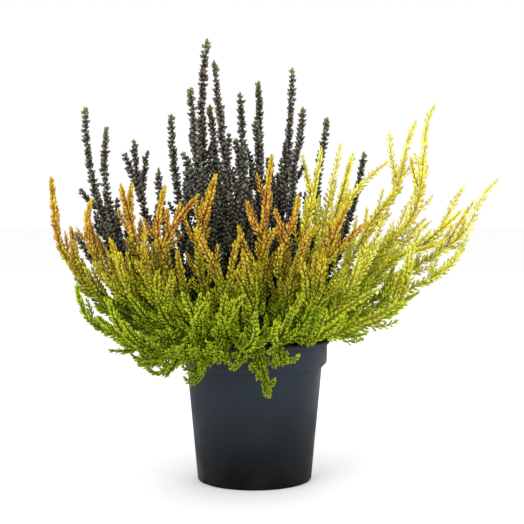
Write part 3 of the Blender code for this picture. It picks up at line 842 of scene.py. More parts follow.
class Wiring:
    """Short ways to place and join shader nodes in one node tree."""

    def __init__(self, tree: bpy.types.NodeTree) -> None:
        """Keeps the tree that the nodes go into."""
        self.tree = tree

    def node(self, kind: str, **settings: object) -> bpy.types.Node:
        """A new node with its settings.

        Args:
            kind: The node's type name.
            **settings: The node's own properties.

        Returns:
            The node.
        """
        made = self.tree.nodes.new(kind)
        for name, value in settings.items():
            setattr(made, name, value)
        return made

    def feed(self, socket: bpy.types.NodeSocket, value: object) -> None:
        """Puts a value into an input, or joins an output to it.

        Args:
            socket: The input.
            value: A number, a colour or another node's output.
        """
        if isinstance(value, bpy.types.NodeSocket):
            self.tree.links.new(value, socket)
        elif isinstance(value, tuple) and len(value) == 3 and socket.type == "RGBA":
            socket.default_value = (*value, 1.0)
        else:
            socket.default_value = value

    def read(self, name: str) -> bpy.types.NodeOutputs:
        """The three parts of one of the piece's own attributes."""
        made = self.node("ShaderNodeAttribute", attribute_type="GEOMETRY", attribute_name=name)
        return self.split(made.outputs["Vector"])

    def split(self, vector: bpy.types.NodeSocket) -> bpy.types.NodeOutputs:
        """The three parts of a vector."""
        made = self.node("ShaderNodeSeparateXYZ")
        self.feed(made.inputs[0], vector)
        return made.outputs

    def here(self) -> bpy.types.NodeSocket:
        """The place on the piece, in its own coordinates."""
        return self.node("ShaderNodeTexCoord").outputs["Object"]

    def blend(self, factor: object, first: object, second: object) -> bpy.types.NodeSocket:
        """A colour between two others.

        Args:
            factor: How much of the second colour.
            first: The first colour.
            second: The second colour.

        Returns:
            The blended colour.
        """
        made = self.node("ShaderNodeMix", data_type="RGBA", blend_type="MIX")
        self.feed(made.inputs["Factor"], factor)
        self.feed(made.inputs[6], first)
        self.feed(made.inputs[7], second)
        return made.outputs[2]

    def ramp(
        self, value: object, low: object, high: float, to_low: float = 0.0, to_high: float = 1.0
    ) -> bpy.types.NodeSocket:
        """A value carried smoothly from one range to another.

        Args:
            value: The value.
            low: Where the range starts.
            high: Where the range ends.
            to_low: What its start becomes.
            to_high: What its end becomes.

        Returns:
            The carried value.
        """
        made = self.node("ShaderNodeMapRange", interpolation_type="SMOOTHSTEP")
        for socket, number in zip(made.inputs, (value, low, high, to_low, to_high)):
            self.feed(socket, number)
        return made.outputs[0]

    def grain(self, scale: object, detail: float) -> bpy.types.NodeSocket:
        """Fine noise on the piece's own coordinates.

        Args:
            scale: How fine it is.
            detail: How many finer layers it has.

        Returns:
            The noise as a value.
        """
        made = self.node("ShaderNodeTexNoise")
        for name, value in (("Vector", self.here()), ("Scale", scale), ("Detail", detail)):
            self.feed(made.inputs[name], value)
        return made.outputs[0]

    def use_group(self, group: bpy.types.NodeTree, values: dict[str, object]) -> bpy.types.NodeOutputs:
        """Places a group with its own values.

        Args:
            group: The group.
            values: The value of each input.

        Returns:
            The group's outputs.
        """
        made = self.node("ShaderNodeGroup", node_tree=group)
        for name, value in values.items():
            self.feed(made.inputs[name], value)
        return made.outputs


class FinishShop:
    """Makes the shader node groups once, and a material for each finish."""

    COLOUR = "NodeSocketColor"
    VALUE = "NodeSocketFloat"
    LEAF_COLOURS = (
        "foot", "tip", "blush_foot", "blush_tip", "young", "low_foot", "low_tip", "deep", "low_deep"
    )
    WHOLE = (0.0, 1.0)
    OUTWARD = (0.05, 0.85)
    MOTTLE = (900.0, 2.0)
    MOTTLE_RANGE = (0.3, 0.7)
    HUE = (0.485, 0.515)
    SATURATION = (0.92, 1.06)
    BRIGHTNESS = (0.78, 1.20)
    WEATHER_DETAIL = 4.0
    WEATHER_RANGE = (0.35, 0.68)

    def __init__(self) -> None:
        """Makes the groups that more than one material uses."""
        self.weathering = self.make_weathering_group()
        self.leaf_tone = self.make_leaf_tone_group()

    @staticmethod
    def start_group(name: str, inputs: dict[str, str], outputs: dict[str, str]) -> tuple[Wiring, dict, dict]:
        """A new node group with named inputs and outputs.

        Args:
            name: The group's name.
            inputs: Each input's name and socket type.
            outputs: Each output's name and socket type.

        Returns:
            The group's wiring, its inputs' sockets and its outputs' sockets.
        """
        tree = bpy.data.node_groups.new(name, "ShaderNodeTree")
        for way, sockets in (("INPUT", inputs), ("OUTPUT", outputs)):
            for socket, kind in sockets.items():
                tree.interface.new_socket(socket, in_out=way, socket_type=kind)
        wiring = Wiring(tree)
        return wiring, wiring.node("NodeGroupInput").outputs, wiring.node("NodeGroupOutput").inputs

    def make_weathering_group(self) -> bpy.types.NodeTree:
        """The group that breaks up a colour with fine and coarse mottling.

        Returns:
            The node group.
        """
        wiring, source, sink = self.start_group(
            "weathering",
            {"Colour": self.COLOUR, "Second": self.COLOUR, "Scale": self.VALUE, "Amount": self.VALUE},
            {"Colour": self.COLOUR, "Mask": self.VALUE},
        )
        mask = wiring.ramp(wiring.grain(source["Scale"], self.WEATHER_DETAIL), *self.WEATHER_RANGE)
        strength = wiring.node("ShaderNodeMath", operation="MULTIPLY")
        wiring.feed(strength.inputs[0], mask)
        wiring.feed(strength.inputs[1], source["Amount"])
        wiring.feed(sink["Colour"], wiring.blend(strength.outputs[0], source["Colour"], source["Second"]))
        wiring.feed(sink["Mask"], mask)
        return wiring.tree

    def make_leaf_tone_group(self) -> bpy.types.NodeTree:
        """The group that colours leaves by their place on the side shoot and on the shoot.

        Returns:
            The node group.
        """
        inputs = {name: self.COLOUR for name in self.LEAF_COLOURS} | {"young_from": self.VALUE}
        outputs = {"Colour": self.COLOUR, "Mottle": self.VALUE}
        wiring, source, sink = self.start_group("leaf_tone", inputs, outputs)
        out, up, chance = wiring.read("growth")
        low, blush, shade = wiring.read("setting")
        outward = wiring.ramp(out, *self.OUTWARD)
        plain = wiring.blend(outward, source["foot"], source["tip"])
        tinged = wiring.blend(outward, source["blush_foot"], source["blush_tip"])
        mature = wiring.blend(blush, plain, tinged)
        golden = wiring.blend(wiring.ramp(up, source["young_from"], 1.0), mature, source["young"])
        green = wiring.blend(outward, source["low_foot"], source["low_tip"])
        # Far from a tip and near the rim the colours darken towards the deep ones: older leaves, and painted
        # shade deep inside the plant
        aged_shaded_golden = wiring.blend(shade, golden, source["deep"])
        aged_shaded_green = wiring.blend(shade, green, source["low_deep"])
        mottle = wiring.grain(*self.MOTTLE)
        vary = wiring.node("ShaderNodeHueSaturation")
        wiring.feed(vary.inputs["Hue"], wiring.ramp(chance, *self.WHOLE, *self.HUE))
        wiring.feed(vary.inputs["Saturation"], wiring.ramp(mottle, *self.MOTTLE_RANGE, *self.SATURATION))
        wiring.feed(vary.inputs["Value"], wiring.ramp(chance, *self.WHOLE, *self.BRIGHTNESS))
        wiring.feed(vary.inputs["Color"], wiring.blend(low, aged_shaded_golden, aged_shaded_green))
        wiring.feed(sink["Colour"], vary.outputs[0])
        wiring.feed(sink["Mottle"], mottle)
        return wiring.tree

    @staticmethod
    def start_material(
        name: str, colour: Triple, roughness: float
    ) -> tuple[bpy.types.Material, Wiring, bpy.types.NodeInputs]:
        """A new material with a plain shader to wire up.

        Args:
            name: The material's name.
            colour: The colour it has in a plain view.
            roughness: The shader's roughness.

        Returns:
            The material, its wiring and the shader's inputs.
        """
        made = bpy.data.materials.new(name)
        made.use_nodes = True
        made.diffuse_color = (*colour, 1.0)
        shader = made.node_tree.nodes["Principled BSDF"].inputs
        shader["Roughness"].default_value = roughness
        return made, Wiring(made.node_tree), shader

    def weather(self, wiring: Wiring, colour: object, second: Triple, look: Pair) -> bpy.types.NodeOutputs:
        """Breaks up a colour in a material.

        Args:
            wiring: The material's wiring.
            colour: The colour.
            second: The colour that shows through.
            look: How fine the mottling is, and how strong.

        Returns:
            The weathered colour and its mask.
        """
        values = {"Colour": colour, "Second": second, "Scale": look[0], "Amount": look[1]}
        return wiring.use_group(self.weathering, values)

    @staticmethod
    def add_bump(
        wiring: Wiring, shader: bpy.types.NodeInputs, height: bpy.types.NodeSocket, relief: Pair
    ) -> None:
        """Gives a material fine relief.

        Args:
            wiring: The material's wiring.
            shader: The shader's inputs.
            height: The relief.
            relief: How strongly it shows, and how deep it is in metres.
        """
        bump = wiring.node("ShaderNodeBump")
        for name, value in (("Strength", relief[0]), ("Distance", relief[1]), ("Height", height)):
            wiring.feed(bump.inputs[name], value)
        wiring.feed(shader["Normal"], bump.outputs[0])

    def leaf(self, finish: LeafFinish) -> bpy.types.Material:
        """The material of one heather's leaves.

        Args:
            finish: Its colours.

        Returns:
            The material.
        """
        made, wiring, shader = self.start_material(finish.name, finish.tip, finish.roughness)
        values = {name: getattr(finish, name) for name in (*self.LEAF_COLOURS, "young_from")}
        tone = wiring.use_group(self.leaf_tone, values)
        wiring.feed(shader["Base Color"], tone["Colour"])
        wiring.feed(shader["Specular IOR Level"], finish.shine)
        self.add_bump(wiring, shader, tone["Mottle"], finish.relief)
        return made

    def bark(self, finish: BarkFinish) -> bpy.types.Material:
        """The material of one heather's stems.

        Args:
            finish: Its colours.

        Returns:
            The material.
        """
        made, wiring, shader = self.start_material(finish.name, finish.old, finish.roughness)
        age = wiring.blend(wiring.ramp(wiring.read("growth")[1], *finish.age), finish.old, finish.young)
        streaked = self.weather(wiring, age, finish.old, finish.streaks)
        wiring.feed(shader["Base Color"], streaked["Colour"])
        self.add_bump(wiring, shader, streaked["Mask"], finish.relief)
        return made

    def pot(self, finish: PotFinish) -> bpy.types.Material:
        """The pot's material.

        Args:
            finish: Its colours and gloss.

        Returns:
            The material.
        """
        made, wiring, shader = self.start_material(finish.name, finish.collar, finish.roughness)
        height = wiring.split(wiring.here())[2]
        # Painted shade: the plastic darkens from the collar down to nearly black at the foot
        shade = wiring.blend(wiring.ramp(height, 0.0, finish.shade_fade_height), finish.foot, finish.collar)
        dusty = self.weather(wiring, shade, finish.dust, finish.dusting)
        wiring.feed(shader["Base Color"], dusty["Colour"])
        worn = wiring.ramp(dusty["Mask"], *self.WHOLE, finish.roughness, finish.scuffed)
        wiring.feed(shader["Roughness"], worn)
        wiring.feed(shader["Specular IOR Level"], finish.shine)
        self.add_bump(wiring, shader, wiring.grain(*finish.grain), finish.relief)
        return made

    def peat(self, finish: PeatFinish) -> bpy.types.Material:
        """The peat's material.

        Args:
            finish: Its colours.

        Returns:
            The material.
        """
        made, wiring, shader = self.start_material(finish.name, finish.moist, finish.roughness)
        mixed = self.weather(wiring, finish.moist, finish.dry, finish.patches)
        wiring.feed(shader["Base Color"], mixed["Colour"])
        self.add_bump(wiring, shader, wiring.grain(*finish.grain), finish.relief)
        return made


def placed(name: str, mesh: bmesh.types.BMesh, finishes: list[bpy.types.Material]) -> bpy.types.Object:
    """An object of this mesh, with its materials, at the origin.

    Args:
        name: The object's name.
        mesh: Its shape, which is used up.
        finishes: Its materials.

    Returns:
        The object.
    """
    data = bpy.data.meshes.new(name)
    mesh.to_mesh(data)
    mesh.free()
    for finish in finishes:
        data.materials.append(finish)
    made = bpy.data.objects.new(name, data)
    bpy.context.scene.collection.objects.link(made)
    return made


def turned(profile: list[Pair], steps: int) -> bmesh.types.BMesh:
    """A closed body turned about Z from a section that starts and ends on the axis.

    Args:
        profile: The section's corners as (radius, height).
        steps: How many sides the body has.

    Returns:
        The body.
    """
    mesh = bmesh.new()
    verts = [mesh.verts.new((radius, 0.0, height)) for radius, height in profile]
    edges = [mesh.edges.new(pair) for pair in zip(verts, verts[1:])]
    path = {"axis": UP, "cent": (0.0, 0.0, 0.0), "angle": math.tau, "steps": steps}
    bmesh.ops.spin(mesh, geom=verts + edges, use_merge=True, **path)
    bmesh.ops.remove_doubles(mesh, verts=mesh.verts, dist=MERGE)
    bmesh.ops.recalc_face_normals(mesh, faces=mesh.faces)
    return mesh


def report(piece: bpy.types.Object) -> None:
    """Logs a finished piece and how many faces it has."""
    LOG.info("%s: %d faces", piece.name, len(piece.data.polygons))


@dataclass(frozen=True)
class SideShoot:
    """A short side shoot that carries pairs of scale leaves, each pair a quarter turn from the last.

    Sizes are shares of its own length. It grows along +Z, with -X towards the stem.
    """

    pairs: int
    core: float
    flare: float
    lift: float
    widest: float
    incurve: float
    top: float = 1.0
    unevenness: float = 0.18
    foot_share: float = 0.6
    first_pair: float = 0.45
    leafy_share: float = 0.92
    highest: float = 0.99
    foot_spread: Pair = (0.55, 0.45)
    tip_spread: Pair = (0.35, 0.65)
    taper: float = 0.7

    def spread(self, height: float) -> float:
        """How far the leaves stand out at a height, from 0 to 1.

        Args:
            height: The height on the side shoot.

        Returns:
            The share of the full flare.
        """
        if height < self.widest:
            least, more = self.foot_spread
            return least + more * math.sin(math.pi / 2 * height / self.widest)
        least, more = self.tip_spread
        beyond = (height - self.widest) / (1 - self.widest)
        return least + more * math.cos(math.pi / 2 * beyond) ** self.taper

    def make(self, name: str, turn: float, chance: random.Random) -> bpy.types.Mesh:
        """Grows the side shoot, pair by pair.

        Args:
            name: The mesh's name.
            turn: The angle of its first pair about its own length.
            chance: Where its small unevenness comes from.

        Returns:
            The mesh.
        """
        mesh = bmesh.new()
        foot = self.core * self.foot_share
        ring = bmesh.ops.create_circle(mesh, cap_ends=True, segments=4, radius=foot)["verts"]
        cap = ring[0].link_faces[0]
        bmesh.ops.rotate(mesh, verts=ring, matrix=Matrix.Rotation(turn, 3, "Z"))
        leaf_tips = set()
        for pair in range(self.pairs):
            cap = bmesh.ops.extrude_discrete_faces(mesh, faces=[cap])["faces"][0]
            height = (pair + self.first_pair) / self.pairs * self.leafy_share
            for corner, vert in enumerate(cap.verts):
                angle = turn + corner * math.pi / 2
                radius = self.core
                rise = height
                if corner % 2 == pair % 2:
                    leaf_tips.add(vert)
                    radius = self.flare * self.spread(height) * (1 + chance.uniform(-1, 1) * self.unevenness)
                    lift = self.lift * (1 + chance.uniform(-1, 1) * self.unevenness)
                    rise = min(self.highest, height + lift)
                bend = -self.incurve * rise**2
                vert.co = (math.cos(angle) * radius + bend, math.sin(angle) * radius, rise)
        bmesh.ops.pointmerge(mesh, verts=cap.verts, merge_co=Vector((-self.incurve, 0.0, self.top)))
        for face in list(mesh.faces):
            verts = list(face.verts)
            tips = [place for place, vert in enumerate(verts) if vert in leaf_tips]
            if len(verts) == 4 and tips:
                bmesh.utils.face_split(face, verts[tips[0] - 1], verts[(tips[0] + 1) % 4])
        bmesh.ops.holes_fill(mesh, edges=[edge for edge in mesh.edges if edge.is_boundary])
        bmesh.ops.recalc_face_normals(mesh, faces=mesh.faces)
        data = bpy.data.meshes.new(name)
        mesh.to_mesh(data)
        mesh.free()
        return data


@dataclass(frozen=True)
class Foliage:
    """How one heather carries its side shoots and sprigs.

    Each pair of numbers holds at the tip and low on the shoot. The side shoots' sizes come first, and
    then those of the short leafy sprigs, which themselves carry smaller side shoots.
    """

    shape: SideShoot
    sprig_shape: SideShoot
    step: float
    length: Pair
    angle: Pair
    stem_radius: Pair
    sprig_spacing: Pair
    sprig_length: Pair
    sprig_zone: Pair
    sprig_clear: float
    # shade_reach: how far from a tip the darkening starts and is full, both for older leaves and for painted
    # shade inside the plant
    shade_reach: Pair
    sprig_bend: Bend = Bend(math.radians(36), 0.28, 0.60)
    sprig_scale: float = 0.85
    low_growth: float = 0.15
    fall_reach: float = 0.07
    variants: int = 4
    wander: float = math.radians(14)
    length_spread: float = 0.16
    angle_spread: float = math.radians(7)
    tip_gap: float = 0.0028
    tip_zone: float = 0.010
    tip_length: float = 0.55
    tip_lean: float = 0.5


KNOB = SideShoot(pairs=2, core=0.37, flare=0.42, lift=0.26, widest=0.66, incurve=0.0, top=0.84)

FOLIAGE: dict[Heather, Foliage] = {
    DARK: Foliage(
        shape=KNOB,
        sprig_shape=KNOB,
        step=0.0019,
        length=(0.0047, 0.0058),
        angle=(math.radians(54), math.radians(62)),
        stem_radius=(0.0006, 0.0011),
        sprig_spacing=(0.014, 0.0044),
        sprig_length=(0.014, 0.038),
        sprig_zone=(0.03, 0.75),
        sprig_clear=0.084,
        shade_reach=(0.090, 0.170),
        sprig_bend=Bend(math.radians(36), 0.42, 0.60),
        wander=math.radians(24),
        length_spread=0.28,
        angle_spread=math.radians(11),
        tip_zone=0.009,
        tip_length=0.60,
    ),
    AMBER: Foliage(
        shape=SideShoot(pairs=4, core=0.14, flare=0.24, lift=0.16, widest=0.60, incurve=0.10),
        sprig_shape=SideShoot(pairs=3, core=0.11, flare=0.19, lift=0.20, widest=0.60, incurve=0.08),
        step=0.0018,
        length=(0.0050, 0.0068),
        angle=(math.radians(28), math.radians(42)),
        stem_radius=(0.0004, 0.0009),
        sprig_spacing=(0.014, 0.0056),
        sprig_length=(0.018, 0.036),
        sprig_zone=(0.03, 0.80),
        sprig_clear=0.034,
        shade_reach=(0.034, 0.110),
    ),
    YELLOW: Foliage(
        shape=SideShoot(pairs=4, core=0.08, flare=0.22, lift=0.22, widest=0.62, incurve=0.06),
        sprig_shape=SideShoot(pairs=3, core=0.09, flare=0.24, lift=0.24, widest=0.62, incurve=0.06),
        step=0.0022,
        length=(0.0044, 0.0070),
        angle=(math.radians(28), math.radians(42)),
        stem_radius=(0.0004, 0.0009),
        sprig_spacing=(0.012, 0.0056),
        sprig_length=(0.014, 0.032),
        sprig_zone=(0.04, 0.85),
        sprig_clear=0.048,
        shade_reach=(0.050, 0.130),
    ),
}


@dataclass
class Sprout:
    """Where one side shoot stands, and what its place on the plant makes of its colour."""

    foot: Vector
    heading: Vector
    out: Vector
    length: float
    up: float
    low: float
    shade: float


@dataclass
class LeafyShoot:
    """One shoot with its branches: barked stems and side shoots, in place of one plain solid."""

    name: str
    kind: Heather
    strands: list[Strand]
    variants: list[bpy.types.Mesh]
    sprig_variants: list[bpy.types.Mesh]
    layout: ShootLayout
    room: tuple[Vector, Vector]
    blush: float
    chance: random.Random
    stem_sides: int = 6
    branch_slimness: float = 0.75
    stem_tone: float = 0.3
    stem_chance: float = 0.5
    stem_stop: float = 0.4
    hole_depth: float = 0.006
    bare_foot: float = 0.004
    sunk_share: float = 0.5
    sprig_sides: int = 4
    sprig_slimness: float = 0.5
    sprig_steps: int = 6
    sprig_reach: float = 0.0035
    sprig_up: float = 0.35
    sprig_vary: Pair = (0.75, 1.15)
    sprig_turn: float = math.radians(137.5)
    room_edge: float = 0.004
    skirt_top: float = 0.135
    skirt_reach: Pair = (0.057, 0.080)
    skirt_right: float = 0.018
    skirt_length: Pair = (0.024, 0.040)
    skirt_berth: float = 0.0715
    skirt_swing: float = 0.5
    # shade_most, sprig_tip_shade and sprig_root_shade: how much the leaves darken far from a tip, as older
    # leaves and as painted shade inside the plant
    shade_most: float = 0.60
    sprig_tip_shade: float = 0.35
    sprig_root_shade: float = 0.55
    low_from: float = 0.205
    low_full: float = 0.150
    low_share: float = 0.8
    slim_from: float = 0.5
    # deep_from, deep_full and deep_share: painted shade that darkens leaves near and below the pot's rim
    deep_from: float = 0.128
    deep_full: float = 0.096
    deep_share: float = 0.5
    mesh: bmesh.types.BMesh = field(init=False)

    BARK_INDEX = 0
    LEAF_INDEX = 1
    # How far outward, sideways and down a hanging sprig's elbow and tip lie, and on what share of it
    SKIRT_BENDS = ((0.45, 0.5, 1.1, 0.62), (0.95, 1.0, 0.30, 0.72))

    @property
    def foliage(self) -> Foliage:
        """How this shoot carries its side shoots."""
        return FOLIAGE[self.kind]

    @staticmethod
    def frames(points: list[Vector]) -> list[tuple[Vector, Vector, Vector]]:
        """For each point its direction and two sides across it, carried along without a twist.

        Args:
            points: A strand's points.

        Returns:
            The direction and the two sides at each point.
        """
        made = []
        side = Vector((1.0, 0.0, 0.0))
        last = len(points) - 1
        for place in range(last + 1):
            along = (points[min(place + 1, last)] - points[max(place - 1, 0)]).normalized()
            side = (side - along * side.dot(along)).normalized()
            made.append((along, side, along.cross(side)))
        return made

    def lowness(self, strand: Strand) -> float:
        """How much a strand has the low shoots' colours, from 0 to 1."""
        return clamp((self.low_from - strand.points[-1].z) / (self.low_from - self.low_full))

    def shade_at(self, away: float) -> float:
        """How old and dark the leaves are at a distance from a main stem's or branch's tip, as older leaves
        and as painted shade deep inside the plant.
        """
        near, far = self.foliage.shade_reach
        return self.shade_most * clamp((away - near) / (far - near))

    def sprig_shades(self, sprig: Strand) -> Pair:
        """How old and dark a sprig's leaves are at its tip and at its root, as older leaves and as painted
        shade deep inside the plant.

        Args:
            sprig: The sprig.

        Returns:
            The two shades.
        """
        stem = sprig.parent
        behind = self.shade_at(stem.spacing * (len(stem.points) - 1 - sprig.joint))
        return behind * self.sprig_tip_shade, max(behind, self.sprig_root_shade)

    def mark(self, vert: bmesh.types.BMVert, growth: Triple, low: float, shade: float) -> None:
        """Writes on a vertex what the materials read there.

        Args:
            vert: The vertex.
            growth: How far out on its side shoot, how far up the shoot, and a chance value.
            low: How much its strand has the low shoots' colours.
            shade: How old and dark its leaves are, as older leaves and as painted shade deep inside the
                plant.
        """
        height = vert.co.z
        low_here = (self.low_from - height) / (self.low_from - self.low_full) * self.low_share
        # Painted shade: leaves grow darker near and below the pot's rim
        depth = (self.deep_from - height) / (self.deep_from - self.deep_full) * self.deep_share
        vert[self.growth_layer] = growth
        shade = max(shade, min(self.deep_share, depth))
        vert[self.setting_layer] = (min(1.0, max(low, low_here)), self.blush, shade)

    def sprig_strand(
        self, stem: Strand, joint: int, bend: tuple[Vector, Vector, Vector], length: float
    ) -> Strand:
        """A sprig along a bend, lifted clear of the pot.

        Args:
            stem: The stem that carries it.
            joint: The number of the stem's point before it.
            bend: Its start, its elbow and its tip.
            length: Its length.

        Returns:
            The sprig.
        """
        points = self.layout.even_steps(self.layout.simple_bend(*bend), 2 * length / self.sprig_steps)
        for point in points[2:]:
            self.layout.clear_of_pot(point, self.sprig_reach)
        return Strand(stem.node, stem.kind, points, 0.0, stem, joint, sprig=True)

    def sprigs(self, stem: Strand) -> list[Strand]:
        """The short leafy sprigs on a stem's sides, longer and closer low down.

        Args:
            stem: The stem or branch that carries them.

        Returns:
            The sprigs as strands.
        """
        look = self.foliage
        last = len(stem.points) - 1
        spacing = stem.spacing
        total = spacing * last
        travelled = total * look.sprig_zone[0]
        end = min(total * look.sprig_zone[1], total - look.sprig_clear)
        turn = self.chance.uniform(0.0, math.tau)
        made = []
        while travelled < end:
            fall = min(1.0, (total - travelled) / (2 * look.fall_reach))
            length = between(look.sprig_length, fall) * self.chance.uniform(*self.sprig_vary)
            joint = min(int(travelled / spacing), last - 1)
            start = stem.points[joint].lerp(stem.points[joint + 1], travelled / spacing - joint)
            along = (stem.points[joint + 1] - stem.points[joint]).normalized()
            bend = look.sprig_bend.reach(start, along, side_of(along, turn), length)
            sprig = self.sprig_strand(stem, joint, (start, *bend), length)
            if self.has_room(sprig.points[-1]):
                made.append(sprig)
            travelled += between(look.sprig_spacing, fall)
            turn += self.sprig_turn
        return made

    def skirt(self, stem: Strand) -> list[Strand]:
        """Sprigs that hang over the pot's rim from a low stem that crosses it.

        Args:
            stem: The stem or branch.

        Returns:
            The sprigs as strands.
        """
        made = []
        for joint, point in enumerate(stem.points[:-1]):
            flat = Vector((point.x, point.y, 0.0))
            low, high = self.skirt_reach
            if not low < flat.length < high or point.z > self.skirt_top or point.x > self.skirt_right:
                continue
            outward = flat.normalized()
            sideways = outward.cross(UP) * self.chance.uniform(-self.skirt_swing, self.skirt_swing)
            length = self.chance.uniform(*self.skirt_length)
            elbow, tip = (
                point + (outward * out + sideways * aside - UP * down) * length * share
                for out, aside, down, share in self.SKIRT_BENDS
            )
            if tip.to_2d().length > self.skirt_berth and self.has_room(tip):
                made.append(self.sprig_strand(stem, joint, (point, elbow, tip), length))
        return made

    def has_room(self, place: Vector) -> bool:
        """Whether a sprig may end at a place, well inside the room that the plant takes."""
        low, high = self.room
        return all(a + self.room_edge < value < b - self.room_edge for a, value, b in zip(low, place, high))

    def grow_stem(self, strand: Strand, sides: int, slimness: float, material: int) -> None:
        """Adds a strand's stem, tapered and closed at both ends.

        Args:
            strand: The strand.
            sides: How many sides it has.
            slimness: Its thickness beside that of a shoot's main stem.
            material: The number of its material.
        """
        first_face = len(self.mesh.faces)
        thin, thick = self.foliage.stem_radius
        thick *= slimness
        points = list(strand.points)
        points[-1] = points[-1].lerp(points[-2], self.stem_stop)
        if strand.parent is None:
            points.insert(0, points[0] - UP * self.hole_depth)
        low = self.lowness(strand)
        ring = bmesh.ops.create_circle(self.mesh, cap_ends=True, segments=sides, radius=thick)["verts"]
        cap = ring[0].link_faces[0]
        last = len(points) - 1
        for place, (point, (_, side, across)) in enumerate(zip(points, self.frames(points))):
            if place:
                cap = bmesh.ops.extrude_discrete_faces(self.mesh, faces=[cap])["faces"][0]
            radius = thick + (thin - thick) * place / last
            for corner, vert in enumerate(cap.verts):
                angle = math.tau * corner / sides
                vert.co = point + (side * math.cos(angle) + across * math.sin(angle)) * radius
                growth = (self.stem_tone, self.sprig_up * place / last, self.stem_chance)
                self.mark(vert, growth, low, 0.0)
        rim = {edge for vert in ring if vert.is_valid for edge in vert.link_edges if edge.is_boundary}
        bmesh.ops.holes_fill(self.mesh, edges=list(rim))
        self.mesh.faces.ensure_lookup_table()
        for face in self.mesh.faces[first_face:]:
            face.material_index = material

    def grow_leaves(self, strand: Strand, scale: float, up_range: Pair) -> list[Sprout]:
        """Finds where a strand's side shoots stand.

        Args:
            strand: The strand.
            scale: Their size beside those of a shoot's main stem.
            up_range: How far up the shoot the strand's root and tip count.

        Returns:
            The place of each side shoot.
        """
        sprouts = []
        look = self.foliage
        points = strand.points
        directions = self.frames(points)
        last = len(points) - 1
        spacing = strand.spacing
        total = spacing * last
        start = max(strand.bare * total, self.bare_foot)
        shades = self.sprig_shades(strand) if strand.sprig else None
        turn = self.chance.uniform(0.0, math.tau)
        low = self.lowness(strand)
        for pair in range(int((total - start - look.tip_gap) / look.step)):
            travelled = start + (pair + 0.5) * look.step
            away = total - travelled
            place = min(int(travelled / spacing), last - 1)
            share = travelled / spacing - place
            centre = points[place].lerp(points[place + 1], share)
            along = directions[place][0].lerp(directions[place + 1][0], share).normalized()
            side = directions[place][1].lerp(directions[place + 1][1], share)
            side = (side - along * side.dot(along)).normalized()
            across = along.cross(side)
            up = between(up_range, travelled / total)
            # The darkening of older leaves, together with painted shade, grows with the distance from the
            # tip
            shade = shades[0] + (shades[1] - shades[0]) * away / total if shades else self.shade_at(away)
            fall = min(1.0, away / look.fall_reach)
            near_tip = min(1.0, away / look.tip_zone)
            length = between(look.length, fall)
            length *= scale * (1 + look.low_growth * low) * between((look.tip_length, 1), near_tip)
            angle = between(look.angle, fall) * between((look.tip_lean, 1), near_tip)
            radius = between(look.stem_radius[::-1], travelled / total)
            turn += math.pi / 2 + self.chance.gauss(0.0, look.wander / 3)
            for half in (0.0, math.pi):
                bearing = turn + half + self.chance.uniform(-1, 1) * look.wander
                out = side * math.cos(bearing) + across * math.sin(bearing)
                lean = angle + self.chance.uniform(-1, 1) * look.angle_spread
                heading = along * math.cos(lean) + out * math.sin(lean)
                grown = length * (1 + self.chance.uniform(-1, 1) * look.length_spread)
                foot = centre + out * radius * self.sunk_share
                sprouts.append(Sprout(foot, heading, out, grown, up, low, shade))
        end = look.length[0] * scale
        heading, side, _ = directions[-1]
        sprouts.append(Sprout(points[-1] - heading * end, heading, side, end, up_range[1], low, 0.0))
        return sprouts

    def add_side_shoots(self, sprouts: list[Sprout], variants: list[bpy.types.Mesh]) -> None:
        """Adds side shoots to the mesh, all at once.

        Args:
            sprouts: The place of each.
            variants: The shapes that they have.
        """
        first = len(self.mesh.verts)
        first_face = len(self.mesh.faces)
        picks = [self.chance.choice(variants) for _ in sprouts]
        for pick in picks:
            self.mesh.from_mesh(pick)
        self.mesh.verts.ensure_lookup_table()
        self.mesh.faces.ensure_lookup_table()
        for face in self.mesh.faces[first_face:]:
            face.material_index = self.LEAF_INDEX
        for pick, sprout in zip(picks, sprouts):
            outward = (sprout.out - sprout.heading * sprout.out.dot(sprout.heading)).normalized()
            axes = Matrix((outward, sprout.heading.cross(outward), sprout.heading)).transposed()
            chance = self.chance.random()
            count = len(pick.vertices)
            for vert in self.mesh.verts[first : first + count]:
                out_here = vert.co.z
                vert.co = sprout.foot + axes @ (vert.co * sprout.length)
                self.mark(vert, (out_here, sprout.up, chance), sprout.low, sprout.shade)
            first += count

    def keep_in_room(self) -> None:
        """Holds every vertex inside the room that the plant takes."""
        low, high = self.room
        for vert in self.mesh.verts:
            vert.co = [min(max(value, a), b) for a, value, b in zip(low, vert.co, high)]

    def build(self, leaf: bpy.types.Material, bark: bpy.types.Material) -> bpy.types.Object:
        """Grows the whole shoot.

        Args:
            leaf: The leaves' material.
            bark: The stems' material.

        Returns:
            The shoot as one object.
        """
        self.mesh = bmesh.new()
        self.growth_layer = self.mesh.verts.layers.float_vector.new("growth")
        self.setting_layer = self.mesh.verts.layers.float_vector.new("setting")
        sprigs = [sprig for strand in self.strands for sprig in self.sprigs(strand)]
        if self.kind is AMBER:
            sprigs += [sprig for strand in self.strands for sprig in self.skirt(strand)]
        for strand in self.strands:
            slimness = 1.0 if strand.parent is None else self.branch_slimness
            self.grow_stem(strand, self.stem_sides, slimness, self.BARK_INDEX)
        for sprig in sprigs:
            self.grow_stem(sprig, self.sprig_sides, self.sprig_slimness, self.LEAF_INDEX)
        bmesh.ops.recalc_face_normals(self.mesh, faces=self.mesh.faces)
        for full, variants in ((True, self.variants), (False, self.sprig_variants)):
            strands = [strand for strand in self.strands if (self.lowness(strand) < self.slim_from) == full]
            sprouts = [sprout for strand in strands for sprout in self.grow_leaves(strand, 1.0, (0.0, 1.0))]
            for sprig in () if full else sprigs:
                rise = (self.sprig_up, self.sprig_up * 2)
                sprouts += self.grow_leaves(sprig, self.foliage.sprig_scale, rise)
            self.add_side_shoots(sprouts, variants)
        self.keep_in_room()
        for face in self.mesh.faces:
            face.smooth = True
        return placed(self.name, self.mesh, [bark, leaf])


